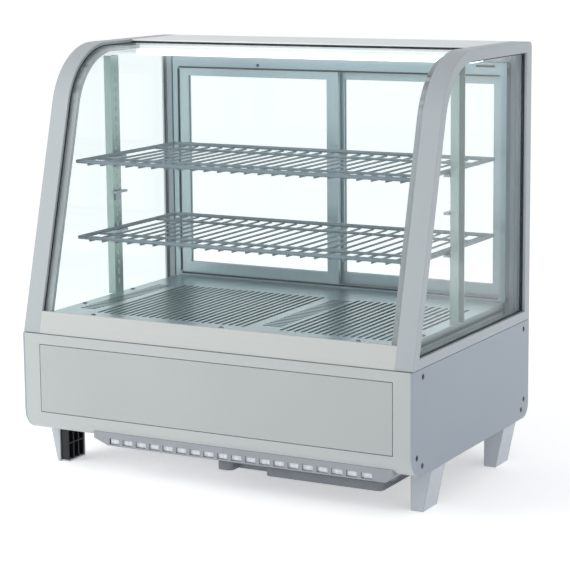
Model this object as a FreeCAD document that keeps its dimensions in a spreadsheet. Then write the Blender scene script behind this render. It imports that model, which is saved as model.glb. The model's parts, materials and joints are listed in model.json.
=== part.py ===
"""Countertop glass merchandiser: a curved-glass chilled display with sliding rear doors.

Millimetres. X runs along the front, +X to the right as seen from the front, Y runs from
the front (-Y) to the rear (+Y), and Z is up. The origin is on the floor under the middle.
"""
import FreeCAD, Part
import math
import os

import Sketcher

# ---------------------------------------------------------------------------
# Driving sizes: every value is one cell of the sheet
# ---------------------------------------------------------------------------
SIZES = {
    # overall
    "width": 682, "depth": 450, "height": 675,
    "leg_height": 65, "base_top": 226, "seam_gap": 0.8,
    # how far a cutting tool stands past the face that it cuts
    "over": 1,
    # curved side profile of the upper part
    "slant_angle": 15, "slant_setback": 2.5, "arc_radius": 120, "rear_radius": 10,
    # base casing
    "skin": 3, "chassis_sheet": 2, "chassis_web": 4, "wall_play": 0.16,
    "front_radius": 35, "bottom_rear_radius": 22, "floor_margin": 1,
    "panel_side": 1, "panel_rise": 33.5, "panel_drop": 17,
    "panel_gap": 1, "panel_thick": 3.5, "panel_rebate": 8,
    "fascia_vent_in": 10, "fascia_vent_edge": 6, "fascia_vent_high": 12,
    "screw_head": 4.3, "screw_head_high": 1.2, "screw_shank": 2, "screw_length": 7,
    "screw_fit": 0.05, "screw_play": 0.3, "head_play": 0.1,
    "top_screw_down": 13, "front_top_screw": 37, "rear_top_screw": 23,
    "upper_screw_up": 31, "front_upper_screw": 16, "rear_upper_screw": 20,
    "lower_screw_up": 15.5, "front_lower_screw": 35, "rear_lower_screw": 31,
    # rear panel openings, measured up from the legs and in from the right-hand side
    "louvre_count": 12, "louvre_pitch": 14, "louvre_wide": 7, "louvre_up": 30,
    "louvre_long": 80, "louvre_in": 91,
    "plate_in": 141, "plate_wide": 140, "plate_up": 55, "plate_high": 70,
    "gland_in": 61, "gland_up": 45, "gland_radius": 9, "gland_bore": 4,
    "gland_flange": 3, "gland_flange_thick": 4, "gland_long": 9, "gland_play": 0.1,
    # air intake under the front
    "grille_left_in": 125, "grille_gap": 1.5, "grille_drop": 10, "grille_slope_left": 26,
    "grille_slope_right": 12, "grille_in": 9, "grille_deep": 156, "grille_wall": 2.5,
    "grille_tuck": 18, "slot_first_in": 29, "slot_pitch": 24.5, "slot_wide": 18,
    "slot_up": 2.5, "slot_high": 9,
    # drain pan and its runners
    "pan_right_in": 26, "pan_wide": 282, "pan_in": 25, "pan_rear_gap": 2, "pan_gap": 5,
    "pan_high": 14, "pan_wall": 2, "pan_round": 9, "pan_flange": 3, "pan_flange_thick": 1.6,
    "notch_in": 27, "notch_wide": 58, "notch_deep": 22,
    "runner_gap": 0.4, "runner_wall": 2.5, "runner_hold": 0.6, "runner_in": 4,
    # feet
    "foot_wide": 33.5, "foot_taper": 13.5, "front_foot_in": 67, "rear_foot_in": 104,
    "foot_long": 50.5, "foot_wall": 2.6, "foot_short": 14.5, "rib_wall": 2.2,
    "rib_gap": 0.3, "rib_count": 4, "rib_shelf_share": 0.42, "rib_back_gap": 1,
    "rib_inset": 0.5,
    # upper frame
    "post_wide": 30, "ring_wide": 17, "ring_low": 15, "ring_rear": 18.4, "ring_lip": 7,
    "ring_groove": 5, "sill_high": 34, "sill_deep": 32, "sill_seat_up": 14,
    # glass
    "pane": 3, "front_gap": 6, "front_recess": 6, "front_clear": 0.2, "front_end": 70,
    "side_gap": 10, "spacer_wide": 12.5, "gasket_deep": 4,
    # top
    "top_sheet": 3, "top_nose": 2.5, "top_flange_drop": 34,
    "lamp_end_gap": 6, "lamp_deep": 42, "lamp_drop": 20, "diffuser_thick": 6,
    "lamp_wall": 2, "strip_thick": 1.5, "strip_wide": 12, "strip_end_gap": 12,
    # rear doors
    "track_lip": 2.8, "mid_lip": 2.4, "rear_lip": 3.4, "track_up": 0.2,
    "track_floor_up": 22.5, "track_lip_up": 36, "header_drop": 56, "header_web_drop": 42,
    "door_thick": 9.9, "door_play": 0.4, "door_glide": 0.1, "door_lift": 1.5,
    "door_end_gap": 1, "door_meeting": 8, "stile": 25, "meeting_stile": 21,
    "bottom_rail_up": 54, "top_rail_drop": 69, "door_glass": 4,
    "jamb_deep": 9, "jamb_web": 2.5, "grip_wide": 14, "grip_long": 100,
    "grip_deep": 5.2, "glass_seat": 3,
    # pilasters, clips and shelves
    "pilaster_wide": 13.5, "pilaster_deep": 24,
    "pilaster_top_gap": 6, "pilaster_wall": 1.2, "pilaster_pitch": 16,
    "pilaster_slot_wide": 4, "pilaster_slot_high": 9,
    "clip_reach": 9, "clip_deep": 34, "clip_thick": 4, "clip_web": 2, "clip_web_high": 16,
    "upper_shelf_up": 235, "spare_clip_up": 177, "lower_shelf_up": 112,
    "shelf_side_gap": 3.5, "shelf_glass_gap": 7.8, "shelf_door_gap": 19,
    "shelf_rod": 3.2, "shelf_wire": 1.7, "wire_pitch": 24, "shelf_rest": 0.3,
    "wire_sink": 0.6, "cross_share": 0.2, "cross_wire": 2.2,
    # deck
    "deck_up": 29, "deck_side_gap": 1, "deck_glass_gap": 3, "deck_door_gap": 5,
    "deck_sheet": 1.5, "deck_seat_gap": 0.5, "deck_slot_in": 30, "deck_slot_rear_in": 80,
    "long_slot_wide": 6, "long_slot_pitch": 12, "short_slot_pitch": 11,
    "short_slot_wide": 5.5, "short_slot_skip": 2, "edge_slot_in": 23, "edge_slot_long": 30,
    "long_slot_in": 69, "middle_slot_x": 48, "middle_slot_long": 33, "field_gap": 8,
    "right_slot_in": 14, "deck_screw_in": 76, "deck_screw_line": 10, "deck_end_screw": 7,
    "deck_end_ahead": 94, "deck_end_after": 26, "deck_screw_radius": 4,
    "deck_head_high": 1.6, "deck_screw_long": 6,
    # insulated tank under the deck
    "tank_gap": 0.5, "tank_door_gap": 7, "tank_deep": 114, "tank_shallow_deep": 21,
    "tank_step_gap": 20, "foam": 18, "tank_end_foam": 12,
    # cooling parts
    "evaporator_in": 56, "evaporator_wide": 210, "evaporator_rear_in": 175,
    "evaporator_deep": 44, "evaporator_room": 2, "evaporator_rows": 4,
    "cold_fan_radius": 40, "cold_fan_edge": 3, "cold_fan_thick": 22, "cold_fan_hub": 13,
    "cold_motor_long": 7, "fan_arm": 6, "fan_arm_thick": 3,
    "condenser_in": 35, "condenser_wide": 190, "condenser_front_in": 47,
    "condenser_deep": 34, "condenser_room": 11, "condenser_rows": 6, "intake_margin": 10,
    "hot_fan_radius": 54, "shroud_thick": 2, "shroud_deep": 26, "hot_fan_hub": 18,
    "hot_fan_back": 12, "motor_gap": 8, "motor_arm": 12, "motor_leg": 4,
    "hub_radius": 13, "blade_thick": 1.6, "blade_count": 5, "blade_pitch": 35,
    "fan_play": 2.5, "motor_radius": 17, "motor_long": 32, "shaft_radius": 2,
    "shaft_fit": 0.05, "shaft_tip": 14, "cold_shaft_in": 5.5, "shaft_into": 1,
    "compressor_in": 91, "compressor_rear_in": 150, "compressor_radius": 52,
    "compressor_room": 12, "compressor_lift": 10, "compressor_dome": 30,
    "plate_half_long": 62, "plate_half_deep": 40, "plate_thick": 3,
    "stud_radius": 7, "stud_high": 9, "stud_x": 54, "stud_y": 32,
    "tube_radius": 3, "tube_bend_out": 4, "tube_bend": 4, "line_up": 38,
    "drier_radius": 9, "drier_long": 80, "drier_step_gap": 76, "drier_gap": 18,
    "capillary_out": 25,
    # controls at the rear
    "control_deep": 16, "control_wall": 2, "face_thick": 8, "knob_in": 32,
    "knob_radius": 14, "knob_gap": 0.6, "knob_grip_high": 9,
    "pointer_wide": 3, "pointer_high": 10, "knob_bore_deep": 10.5,
    "spindle_radius": 3, "spindle_long": 12, "spindle_root": 2, "spindle_fit": 0.05,
    "rocker_wide": 13, "rocker_high": 21, "rocker_play": 0.5, "rocker_tip": 1,
    "rocker_root": 3, "rocker_taper": 4, "rocker_proud": 3.5,
    "power_in": 78, "light_in": 112,
}


class Dim(float):
    """A size that remembers the sheet expression it comes from."""

    def __new__(cls, value, text):
        size = super().__new__(cls, value)
        size.text = text
        return size

    def __add__(self, other):
        return joined(self, "+", other, float(self) + float(other))

    def __radd__(self, other):
        return joined(other, "+", self, float(other) + float(self))

    def __sub__(self, other):
        return joined(self, "-", other, float(self) - float(other))

    def __rsub__(self, other):
        return joined(other, "-", self, float(other) - float(self))

    def __mul__(self, other):
        return joined(self, "*", other, float(self) * float(other))

    def __rmul__(self, other):
        return joined(other, "*", self, float(other) * float(self))

    def __truediv__(self, other):
        return joined(self, "/", other, float(self) / float(other))

    def __neg__(self):
        return Dim(-float(self), f"(-1 * {self.text})")


def text_of(value):
    """The sheet expression of a size, or a plain number's own digits."""
    return value.text if isinstance(value, Dim) else repr(float(value))


def joined(left, sign, right, value):
    return Dim(value, f"({text_of(left)} {sign} {text_of(right)})")


def cosine(angle):
    return Dim(math.cos(math.radians(angle)), f"cos({text_of(angle)})")


def sine(angle):
    return Dim(math.sin(math.radians(angle)), f"sin({text_of(angle)})")


def make_sheet(doc):
    """Write every size into its own named cell."""
    sheet = doc.addObject("Spreadsheet::Sheet", "Sizes")
    for row, (name, value) in enumerate(SIZES.items(), start=1):
        sheet.set(f"A{row}", name)
        sheet.set(f"B{row}", str(value))
        sheet.setAlias(f"B{row}", name)
    doc.recompute()
    return sheet


class Named:
    """The sizes as attributes: S.width, S.depth and so on."""

    def __init__(self, values):
        for name, value in values.items():
            setattr(self, name, Dim(value, f"Sizes.{name}"))


doc = FreeCAD.newDocument("merchandiser")
sheet = make_sheet(doc)
S = Named(SIZES)
sub_parts = []

# ---------------------------------------------------------------------------
# Helpers: each makes one document object whose sizes are bound to the sheet
# ---------------------------------------------------------------------------
QUARTER_TURNS = {
    "x": FreeCAD.Rotation(FreeCAD.Vector(0, 1, 0), 90),
    "y": FreeCAD.Rotation(FreeCAD.Vector(1, 0, 0), -90),
    "z": FreeCAD.Rotation(),
}


def bind(item, prop, value):
    item.setExpression(prop, text_of(value))


def place(item, x, y, z):
    bind(item, "Placement.Base.x", x)
    bind(item, "Placement.Base.y", y)
    bind(item, "Placement.Base.z", z)


def keep(node, item):
    """Register a finished sub-part under its node name."""
    item.Label = node
    sub_parts.append((node, item))
    return item


def box(name, x, y, z):
    """A block between two corners, each given as a (low, high) pair."""
    item = doc.addObject("Part::Box", name)
    bind(item, "Length", x[1] - x[0])
    bind(item, "Width", y[1] - y[0])
    bind(item, "Height", z[1] - z[0])
    place(item, x[0], y[0], z[0])
    return item


def rod(name, radius, start, length, axis):
    """A cylinder from its start point along +X, +Y or +Z."""
    item = doc.addObject("Part::Cylinder", name)
    item.Placement = FreeCAD.Placement(FreeCAD.Vector(), QUARTER_TURNS[axis])
    bind(item, "Radius", radius)
    bind(item, "Height", length)
    place(item, *start)
    return item


def cone(name, radius_low, radius_high, start, length, axis):
    item = doc.addObject("Part::Cone", name)
    item.Placement = FreeCAD.Placement(FreeCAD.Vector(), QUARTER_TURNS[axis])
    bind(item, "Radius1", radius_low)
    bind(item, "Radius2", radius_high)
    bind(item, "Height", length)
    place(item, *start)
    return item


def fuse(name, shapes):
    item = doc.addObject("Part::MultiFuse", name)
    item.Shapes = shapes
    return item


def cut(name, base, tools):
    item = doc.addObject("Part::Cut", name)
    item.Base = base
    item.Tool = tools[0] if len(tools) == 1 else fuse(name + "_tools", tools)
    return item


def common(name, base, tool):
    item = doc.addObject("Part::Common", name)
    item.Base = base
    item.Tool = tool
    return item


def mirrored(name, item):
    """The same piece on the other side of the middle plane X = 0."""
    twin = doc.addObject("Part::Mirroring", name)
    twin.Source = item
    twin.Base = FreeCAD.Vector(0, 0, 0)
    twin.Normal = FreeCAD.Vector(1, 0, 0)
    return twin


def origin_feature(body, role):
    return [item for item in body.Origin.OriginFeatures if item.Role == role][0]


def new_body(name):
    return doc.addObject("PartDesign::Body", name)


def bind_point(sketch, geometry, end, u, v):
    """Fix one end of a sketch line at (u, v) from the sketch's origin."""
    for kind, value in (("DistanceX", u), ("DistanceY", v)):
        index = sketch.addConstraint(
            Sketcher.Constraint(kind, -1, 1, geometry, end, float(value)))
        sketch.setExpression(f"Constraints[{index}]", text_of(value))


def arc_edge(start, finish, radius, centre):
    """A sketch arc and which of its ends are its first and last points."""
    angles = [math.atan2(p[1] - centre[1], p[0] - centre[0]) for p in (start, finish)]
    turn = (angles[1] - angles[0]) % (2 * math.pi)
    circle = Part.Circle(FreeCAD.Vector(centre[0], centre[1], 0),
                         FreeCAD.Vector(0, 0, 1), float(radius))
    if turn < math.pi:
        return Part.ArcOfCircle(circle, angles[0], angles[0] + turn), (1, 2)
    return Part.ArcOfCircle(circle, angles[1], angles[1] + 2 * math.pi - turn), (2, 1)


def add_outline(sketch, points):
    """Draw a closed outline. A point is (u, v) or (u, v, radius, centre), where the
    radius and centre shape the edge that leaves the point."""
    edges = []
    for index, point in enumerate(points):
        following = points[(index + 1) % len(points)]
        if len(point) == 4:
            shape, ends = arc_edge(point, following, point[2], point[3])
            geometry = sketch.addGeometry(shape)
            radius = sketch.addConstraint(
                Sketcher.Constraint("Radius", geometry, float(point[2])))
            sketch.setExpression(f"Constraints[{radius}]", text_of(point[2]))
        else:
            line = Part.LineSegment(FreeCAD.Vector(point[0], point[1], 0),
                                    FreeCAD.Vector(following[0], following[1], 0))
            geometry = sketch.addGeometry(line)
            ends = (1, 2)
        edges.append((geometry, ends))
    for index, (geometry, ends) in enumerate(edges):
        after, after_ends = edges[(index + 1) % len(edges)]
        sketch.addConstraint(Sketcher.Constraint(
            "Coincident", geometry, ends[1], after, after_ends[0]))
        bind_point(sketch, geometry, ends[0], points[index][0], points[index][1])


def add_circle(sketch, u, v, radius):
    geometry = sketch.addGeometry(Part.Circle(
        FreeCAD.Vector(u, v, 0), FreeCAD.Vector(0, 0, 1), float(radius)))
    bind_point(sketch, geometry, 3, u, v)
    index = sketch.addConstraint(Sketcher.Constraint("Radius", geometry, float(radius)))
    sketch.setExpression(f"Constraints[{index}]", text_of(radius))


def sketch_in(body, role, level):
    """A sketch on one of the body's own origin planes, lifted to a level."""
    sketch = body.newObject("Sketcher::SketchObject", body.Name + "_sketch")
    sketch.AttachmentSupport = (origin_feature(body, role), [""])
    sketch.MapMode = "FlatFace"
    bind(sketch, "AttachmentOffset.Base.z", level)
    return sketch


def pad(body, role, outline, low, high):
    """Extrude an outline from low to high. The XZ plane faces -Y, so it starts there."""
    level = -high if role == "XZ_Plane" else low
    sketch = sketch_in(body, role, level)
    add_outline(sketch, outline)
    feature = body.newObject("PartDesign::Pad", body.Name + "_pad")
    feature.Profile = sketch
    bind(feature, "Length", high - low)
    return feature


def pocket_between(body, role, outlines, low, high):
    """Cut outlines out of the body between two levels along the plane's normal."""
    level = -low if role == "XZ_Plane" else high
    sketch = sketch_in(body, role, level)
    for outline in outlines:
        if len(outline) == 3 and not isinstance(outline[0], tuple):
            add_circle(sketch, *outline)
        else:
            add_outline(sketch, outline)
    feature = body.newObject("PartDesign::Pocket", body.Name + "_pocket")
    feature.Profile = sketch
    bind(feature, "Length", high - low)
    return feature


def row(body, feature, axis, pitch, count):
    """Repeat a feature along one axis of the body."""
    pattern = body.newObject("PartDesign::LinearPattern", body.Name + "_row")
    pattern.Originals = [feature]
    pattern.Direction = (origin_feature(body, axis), [""])
    bind(pattern, "Length", pitch * (count - 1))
    bind(pattern, "Occurrences", count)
    body.Tip = pattern
    return pattern


def rectangle(u, v):
    return [(u[0], v[0]), (u[1], v[0]), (u[1], v[1]), (u[0], v[1])]


def slot_outline(u, v):
    """A slot along v with round ends: straight sides joined by half circles made of
    two quarter arcs."""
    radius = (u[1] - u[0]) / 2
    middle = u[0] + radius
    low_centre = (middle, v[0] + radius)
    high_centre = (middle, v[1] - radius)
    return [
        (u[0], v[0] + radius, radius, low_centre), (middle, v[0], radius, low_centre),
        (u[1], v[0] + radius),
        (u[1], v[1] - radius, radius, high_centre), (middle, v[1], radius, high_centre),
        (u[0], v[1] - radius),
    ]


def prism(name, role, outline, low, high):
    """A body with one padded outline."""
    body = new_body(name)
    pad(body, role, outline, low, high)
    return body


# ---------------------------------------------------------------------------
# Shared lines: the side profile of the upper part and of the base casing
# ---------------------------------------------------------------------------
half_width = S.width / 2
front = -(S.depth / 2)
rear = S.depth / 2
post_inner = half_width - S.post_wide
slant_sine = sine(S.slant_angle)
slant_cosine = cosine(S.slant_angle)
slant_run = slant_sine / slant_cosine
slant_foot = front + S.slant_setback
sill_top = S.base_top + S.sill_high
sill_seat = S.base_top + S.sill_seat_up
deck_top = S.base_top + S.deck_up
arc_centre_z = S.height - S.arc_radius
slant_reach = (arc_centre_z - S.base_top + slant_sine * S.arc_radius) / slant_cosine
arc_centre_y = slant_foot + slant_cosine * S.arc_radius + slant_sine * slant_reach


def slant_y(inset, z):
    """Y of the slanted front, moved in by inset, at height z."""
    return slant_foot + inset / slant_cosine + (z - S.base_top) * slant_run


def arc_start(inset):
    """Where the slanted front turns into the curve, moved in by inset."""
    radius = S.arc_radius - inset
    return arc_centre_y - slant_cosine * radius, arc_centre_z + slant_sine * radius


def curve_up(inset, low):
    """Outline points up the front: foot, start of the curve, end of the curve."""
    centre = (arc_centre_y, arc_centre_z)
    y, z = arc_start(inset)
    return [(slant_y(inset, low), low), (y, z, S.arc_radius - inset, centre),
            (arc_centre_y, S.height - inset)]


def curve_down(inset, low):
    """The same points from the top of the curve down to the foot."""
    centre = (arc_centre_y, arc_centre_z)
    y, z = arc_start(inset)
    return [(arc_centre_y, S.height - inset, S.arc_radius - inset, centre), (y, z),
            (slant_y(inset, low), low)]


def side_outline(inset, low, back):
    """The upper part's side profile with its front and top moved in by inset."""
    return curve_up(inset, low) + [(back, S.height - inset), (back, low)]


def outer_side_outline():
    """The full side profile, with the small round at the top of the rear."""
    centre = (rear - S.rear_radius, S.height - S.rear_radius)
    return curve_up(0, S.base_top) + [
        (rear - S.rear_radius, S.height, S.rear_radius, centre),
        (rear, S.height - S.rear_radius), (rear, S.base_top)]


def base_outline(inset, low, high):
    """The base casing's side profile moved in by inset: round below, open above."""
    front_round = S.front_radius - inset
    rear_round = S.bottom_rear_radius - inset
    front_centre = (front + S.front_radius, S.leg_height + S.front_radius)
    rear_centre = (rear - S.bottom_rear_radius, S.leg_height + S.bottom_rear_radius)
    return [
        (front + inset, high),
        (front + inset, front_centre[1], front_round, front_centre),
        (front_centre[0], low), (rear_centre[0], low, rear_round, rear_centre),
        (rear - inset, rear_centre[1]), (rear - inset, high),
    ]


# ---------------------------------------------------------------------------
# Base casing
# ---------------------------------------------------------------------------
casing_top = S.base_top - S.seam_gap
wall_in = half_width - S.skin
chassis_in = wall_in - S.chassis_sheet
chassis_inset = S.skin + S.wall_play
floor_front = front + S.front_radius + S.floor_margin
floor_rear = rear - S.bottom_rear_radius - S.floor_margin
floor_top = S.leg_height + S.chassis_sheet
panel_half = post_inner - S.panel_side
panel_low = S.leg_height + S.panel_rise
panel_high = S.base_top - S.panel_drop
side_screws = [
    (front + S.front_top_screw, S.base_top - S.top_screw_down),
    (rear - S.rear_top_screw, S.base_top - S.top_screw_down),
    (front + S.front_upper_screw, S.leg_height + S.upper_screw_up),
    (rear - S.rear_upper_screw, S.leg_height + S.upper_screw_up),
    (front + S.front_lower_screw, S.leg_height + S.lower_screw_up),
    (rear - S.rear_lower_screw, S.leg_height + S.lower_screw_up),
]
foot_inner = half_width - S.foot_wide
foot_floor_outer = half_width - S.foot_taper
tank_low = S.base_top - S.tank_deep
tank_shallow = S.base_top - S.tank_shallow_deep
condenser = {
    "x": (half_width - S.condenser_in - S.condenser_wide, half_width - S.condenser_in),
    "y": (front + S.condenser_front_in, front + S.condenser_front_in + S.condenser_deep),
    "z": (floor_top, tank_shallow - S.condenser_room),
}
tank_step = condenser["x"][0] - S.tank_step_gap


def make_chassis():
    """Folded steel tray: a floor and two side walls that take every casing screw."""
    walls = []
    for side in (-1, 1):
        low, high = sorted((side * wall_in, side * chassis_in))
        wall = prism("chassis_wall", "YZ_Plane",
                     base_outline(chassis_inset, S.leg_height + chassis_inset, S.base_top),
                     low, high)
        holes = [rod("chassis_hole", S.screw_shank + S.screw_fit, (low - S.over, y, z),
                     S.chassis_sheet + S.over * 2, "x") for y, z in side_screws]
        walls.append(cut("chassis_side", wall, holes))
    floor = box("chassis_floor", (-wall_in, wall_in), (floor_front, floor_rear),
                (S.leg_height, floor_top))
    webs = [box("chassis_web", sorted((side * wall_in, side * chassis_in)),
                (floor_front, floor_rear), (S.leg_height, floor_top + S.chassis_web))
            for side in (-1, 1)]
    x, y = condenser["x"], condenser["y"]
    margin = S.intake_margin
    intake = box("chassis_intake", (x[0] + margin, x[1] - margin),
                 (y[0] + margin / 2, y[1] - margin / 2),
                 (S.leg_height - S.over, floor_top + S.over))
    tray = fuse("chassis_tray", walls + webs + [cut("chassis_plate", floor, [intake])])
    keep("base_chassis", tray)


def casing_strip(name, half, keep_front):
    """The part of the casing's thin skin that wraps the front or the rear."""
    outer = prism(name + "_outer", "YZ_Plane",
                  base_outline(0, S.leg_height, casing_top), -half, half)
    inner = prism(name + "_inner", "YZ_Plane",
                  base_outline(S.skin, S.leg_height + S.skin, S.base_top + S.over),
                  -half - S.over, half + S.over)
    if keep_front:
        reach = (front - S.over, floor_front)
    else:
        reach = (floor_rear, rear + S.over)
    zone = box(name + "_zone", (-half, half), reach, (S.leg_height - S.over, S.base_top))
    return common(name + "_strip", cut(name + "_skin", outer, [inner]), zone)


def make_front():
    """The front fascia with its rebated opening, and the panel that sits in it."""
    strip = casing_strip("fascia", wall_in, True)
    rebate = S.panel_rebate
    flange = box("fascia_flange", (-panel_half - rebate, panel_half + rebate),
                 (front + S.skin, front + S.panel_thick + S.chassis_sheet),
                 (S.front_radius + S.leg_height, panel_high + rebate))
    lips = fuse("fascia_full", [strip, flange])
    opening = box("fascia_opening", (-panel_half, panel_half),
                  (front - S.over, front + S.panel_thick), (panel_low, panel_high))
    window = box("fascia_window", (-panel_half + rebate, panel_half - rebate),
                 (front - S.over, front + S.front_radius / 2),
                 (panel_low + rebate, panel_high - rebate))
    intake = box("fascia_intake", (slot_first, slot_end),
                 (front + S.fascia_vent_in, floor_front - S.fascia_vent_edge),
                 (S.leg_height - S.over, S.leg_height + S.fascia_vent_high))
    keep("front_fascia", cut("fascia_cut", lips, [opening, window, intake]))
    panel = box("front_panel_block", (-panel_half + S.panel_gap, panel_half - S.panel_gap),
                (front, front + S.panel_thick),
                (panel_low + S.panel_gap, panel_high - S.panel_gap))
    keep("front_panel", panel)


def make_side_panels():
    """A flat cover each side, counterbored for six screws."""
    for node, side in (("left_side_panel", -1), ("right_side_panel", 1)):
        low, high = sorted((side * wall_in, side * half_width))
        outer = half_width - S.screw_head_high
        cover = prism(node + "_plate", "YZ_Plane",
                      base_outline(0, S.leg_height, casing_top), low, high)
        tools = []
        for y, z in side_screws:
            tools.append(rod("head_hole", S.screw_head + S.head_play,
                             (outer if side > 0 else low - S.over, y, z),
                             S.screw_head_high + S.over, "x"))
            tools.append(rod("shank_hole", S.screw_shank + S.screw_play,
                             (low - S.over, y, z), S.skin + S.over * 2, "x"))
        keep(node, cut(node + "_drilled", cover, tools))


def make_casing_screws():
    """Twelve black pan-head screws, one group of separate solids."""
    screws = []
    for side in (-1, 1):
        for y, z in side_screws:
            head_x = half_width - S.screw_head_high if side > 0 else -half_width
            shank_x = head_x - S.screw_length if side > 0 else head_x + S.screw_head_high
            screws.append(fuse("side_screw", [
                rod("screw_head", S.screw_head, (head_x, y, z), S.screw_head_high, "x"),
                rod("screw_shank", S.screw_shank, (shank_x, y, z), S.screw_length, "x")]))
    group = doc.addObject("Part::Compound", "screw_group")
    group.Links = screws
    keep("casing_screws", group)


rear_cut = (rear - S.skin - S.over, rear + S.over)
plate_x = (half_width - S.plate_in - S.plate_wide, half_width - S.plate_in)
plate_z = (S.leg_height + S.plate_up, S.leg_height + S.plate_up + S.plate_high)
gland_x = half_width - S.gland_in
gland_z = S.leg_height + S.gland_up


def make_rear_panel():
    """Louvred rear cover with openings for the control plate and the cable gland."""
    strip = casing_strip("rear_cover", wall_in, False)
    low = S.leg_height + S.louvre_up
    slots = []
    for index in range(int(S.louvre_count)):
        x = -half_width + S.louvre_in + S.louvre_pitch * index
        slots.append(box("louvre", (x, x + S.louvre_wide), rear_cut,
                         (low, low + S.louvre_long)))
    plate = box("plate_opening", plate_x, rear_cut, plate_z)
    gland = rod("gland_opening", S.gland_radius + S.gland_play,
                (gland_x, rear_cut[0], gland_z), S.skin + S.over * 2, "y")
    keep("rear_panel", cut("rear_cover_cut", strip, slots + [plate, gland]))


grille_x = (-half_width + S.grille_left_in, foot_inner - S.grille_gap)
grille_y = (front + S.grille_in, front + S.grille_in + S.grille_deep)
grille_low = S.leg_height - S.grille_drop
slot_first = grille_x[0] + S.slot_first_in
slot_room = grille_x[1] - S.grille_slope_right - S.grille_wall - slot_first
slot_count = int((slot_room - S.slot_wide) / S.slot_pitch) + 1
slot_end = slot_first + S.slot_pitch * (slot_count - 1) + S.slot_wide


def make_grille():
    """The moulding under the front: slotted intake box with the drain pan's runners."""
    left, right = grille_x
    top = S.leg_height
    wall = S.grille_wall
    hem = top + S.grille_tuck
    outline = [(left, hem), (left, top), (left + S.grille_slope_left, grille_low),
               (right - S.grille_slope_right, grille_low), (right, top), (right, hem)]
    body = new_body("grille_shell")
    pad(body, "XZ_Plane", outline, *grille_y)
    inner = [(left + wall, hem + S.over), (left + wall, top + wall / 5),
             (left + S.grille_slope_left + wall * 0.4, grille_low + wall),
             (right - S.grille_slope_right - wall * 0.4, grille_low + wall),
             (right - wall, top + wall / 5), (right - wall, hem + S.over)]
    pocket_between(body, "XZ_Plane", [inner], grille_y[0] + wall, grille_y[1] - wall)
    slot_low = grille_low + S.slot_up
    slot = pocket_between(
        body, "XZ_Plane",
        [rectangle((slot_first, slot_first + S.slot_wide),
                   (slot_low, slot_low + S.slot_high))],
        grille_y[0] - S.over, grille_y[0] + wall + S.over)
    row(body, slot, "X_Axis", S.slot_pitch, slot_count)
    casing = prism("grille_casing", "YZ_Plane",
                   base_outline(0, S.leg_height, S.base_top), -wall_in, wall_in)
    shell = cut("grille_trimmed", body, [casing])
    keep("air_intake_grille", fuse("grille_with_runners", [shell] + pan_runners()))


pan_x = (grille_x[1] - S.pan_right_in - S.pan_wide, grille_x[1] - S.pan_right_in)
pan_y = (front + S.pan_in, grille_y[1] - S.pan_rear_gap)
pan_z = (grille_low - S.pan_gap - S.pan_high, grille_low - S.pan_gap)
pan_apron = pan_y[0] + S.notch_deep


def pan_runners():
    """An L-shaped runner each side that carries the drain pan's flange."""
    foot_top = pan_z[1] - S.pan_flange_thick - S.runner_gap
    foot_low = foot_top - S.runner_wall
    hold = S.pan_flange - S.runner_hold
    left = pan_x[0] - S.pan_flange - S.runner_gap
    right = pan_x[1] + S.pan_flange + S.runner_gap
    depth = (pan_apron + S.runner_in, grille_y[1])
    runners = []
    for wall, foot in (((left - S.runner_wall, left), (left - S.runner_wall, left + hold)),
                       ((right, right + S.runner_wall),
                        (right - hold, right + S.runner_wall))):
        runners.append(box("runner_wall", wall, depth, (foot_low, grille_low)))
        runners.append(box("runner_foot", foot, depth, (foot_low, foot_top)))
    return runners


def make_drain_pan():
    """Sliding water pan with rounded front corners and a finger notch between them."""
    wall = S.pan_wall
    turn = S.pan_round
    bend = pan_y[0] + turn
    notch_left = pan_x[0] + S.notch_in
    notch_right = notch_left + S.notch_wide
    hollow_z = (pan_z[0] + wall, pan_z[1] + S.over)
    tub = prism("pan_block", "XY_Plane", [
        (pan_x[0], pan_y[1]),
        (pan_x[0], bend, turn, (pan_x[0] + turn, bend)), (pan_x[0] + turn, pan_y[0]),
        (notch_left - turn, pan_y[0], turn, (notch_left - turn, bend)), (notch_left, bend),
        (notch_left, pan_apron), (notch_right, pan_apron),
        (notch_right, bend, turn, (notch_right + turn, bend)), (notch_right + turn, pan_y[0]),
        (pan_x[1] - turn, pan_y[0], turn, (pan_x[1] - turn, bend)), (pan_x[1], bend),
        (pan_x[1], pan_y[1])], *pan_z)
    flange = box("pan_flanges", (pan_x[0] - S.pan_flange, pan_x[1] + S.pan_flange),
                 (pan_apron, pan_y[1]), (pan_z[1] - S.pan_flange_thick, pan_z[1]))
    body = fuse("pan_body", [tub, flange])
    hollow = box("pan_hollow", (pan_x[0] + wall, pan_x[1] - wall),
                 (pan_apron + wall, pan_y[1] - wall), hollow_z)
    inner = turn - wall
    back = pan_apron + wall + S.over
    apron = prism("pan_apron_hollow", "XY_Plane", [
        (notch_right + wall, back),
        (notch_right + wall, bend, inner, (notch_right + turn, bend)),
        (notch_right + turn, pan_y[0] + wall),
        (pan_x[1] - turn, pan_y[0] + wall, inner, (pan_x[1] - turn, bend)),
        (pan_x[1] - wall, bend), (pan_x[1] - wall, back)], *hollow_z)
    keep("drain_pan", cut("pan_cut", body, [hollow, apron]))


def foot_outline(side, inner, outer_top, outer_low, wall):
    """The front view of a foot: upright inside, tapering outside."""
    return [(side * inner, wall), (side * (outer_low - wall), wall),
            (side * (outer_top - wall), S.leg_height), (side * inner, S.leg_height)]


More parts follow.
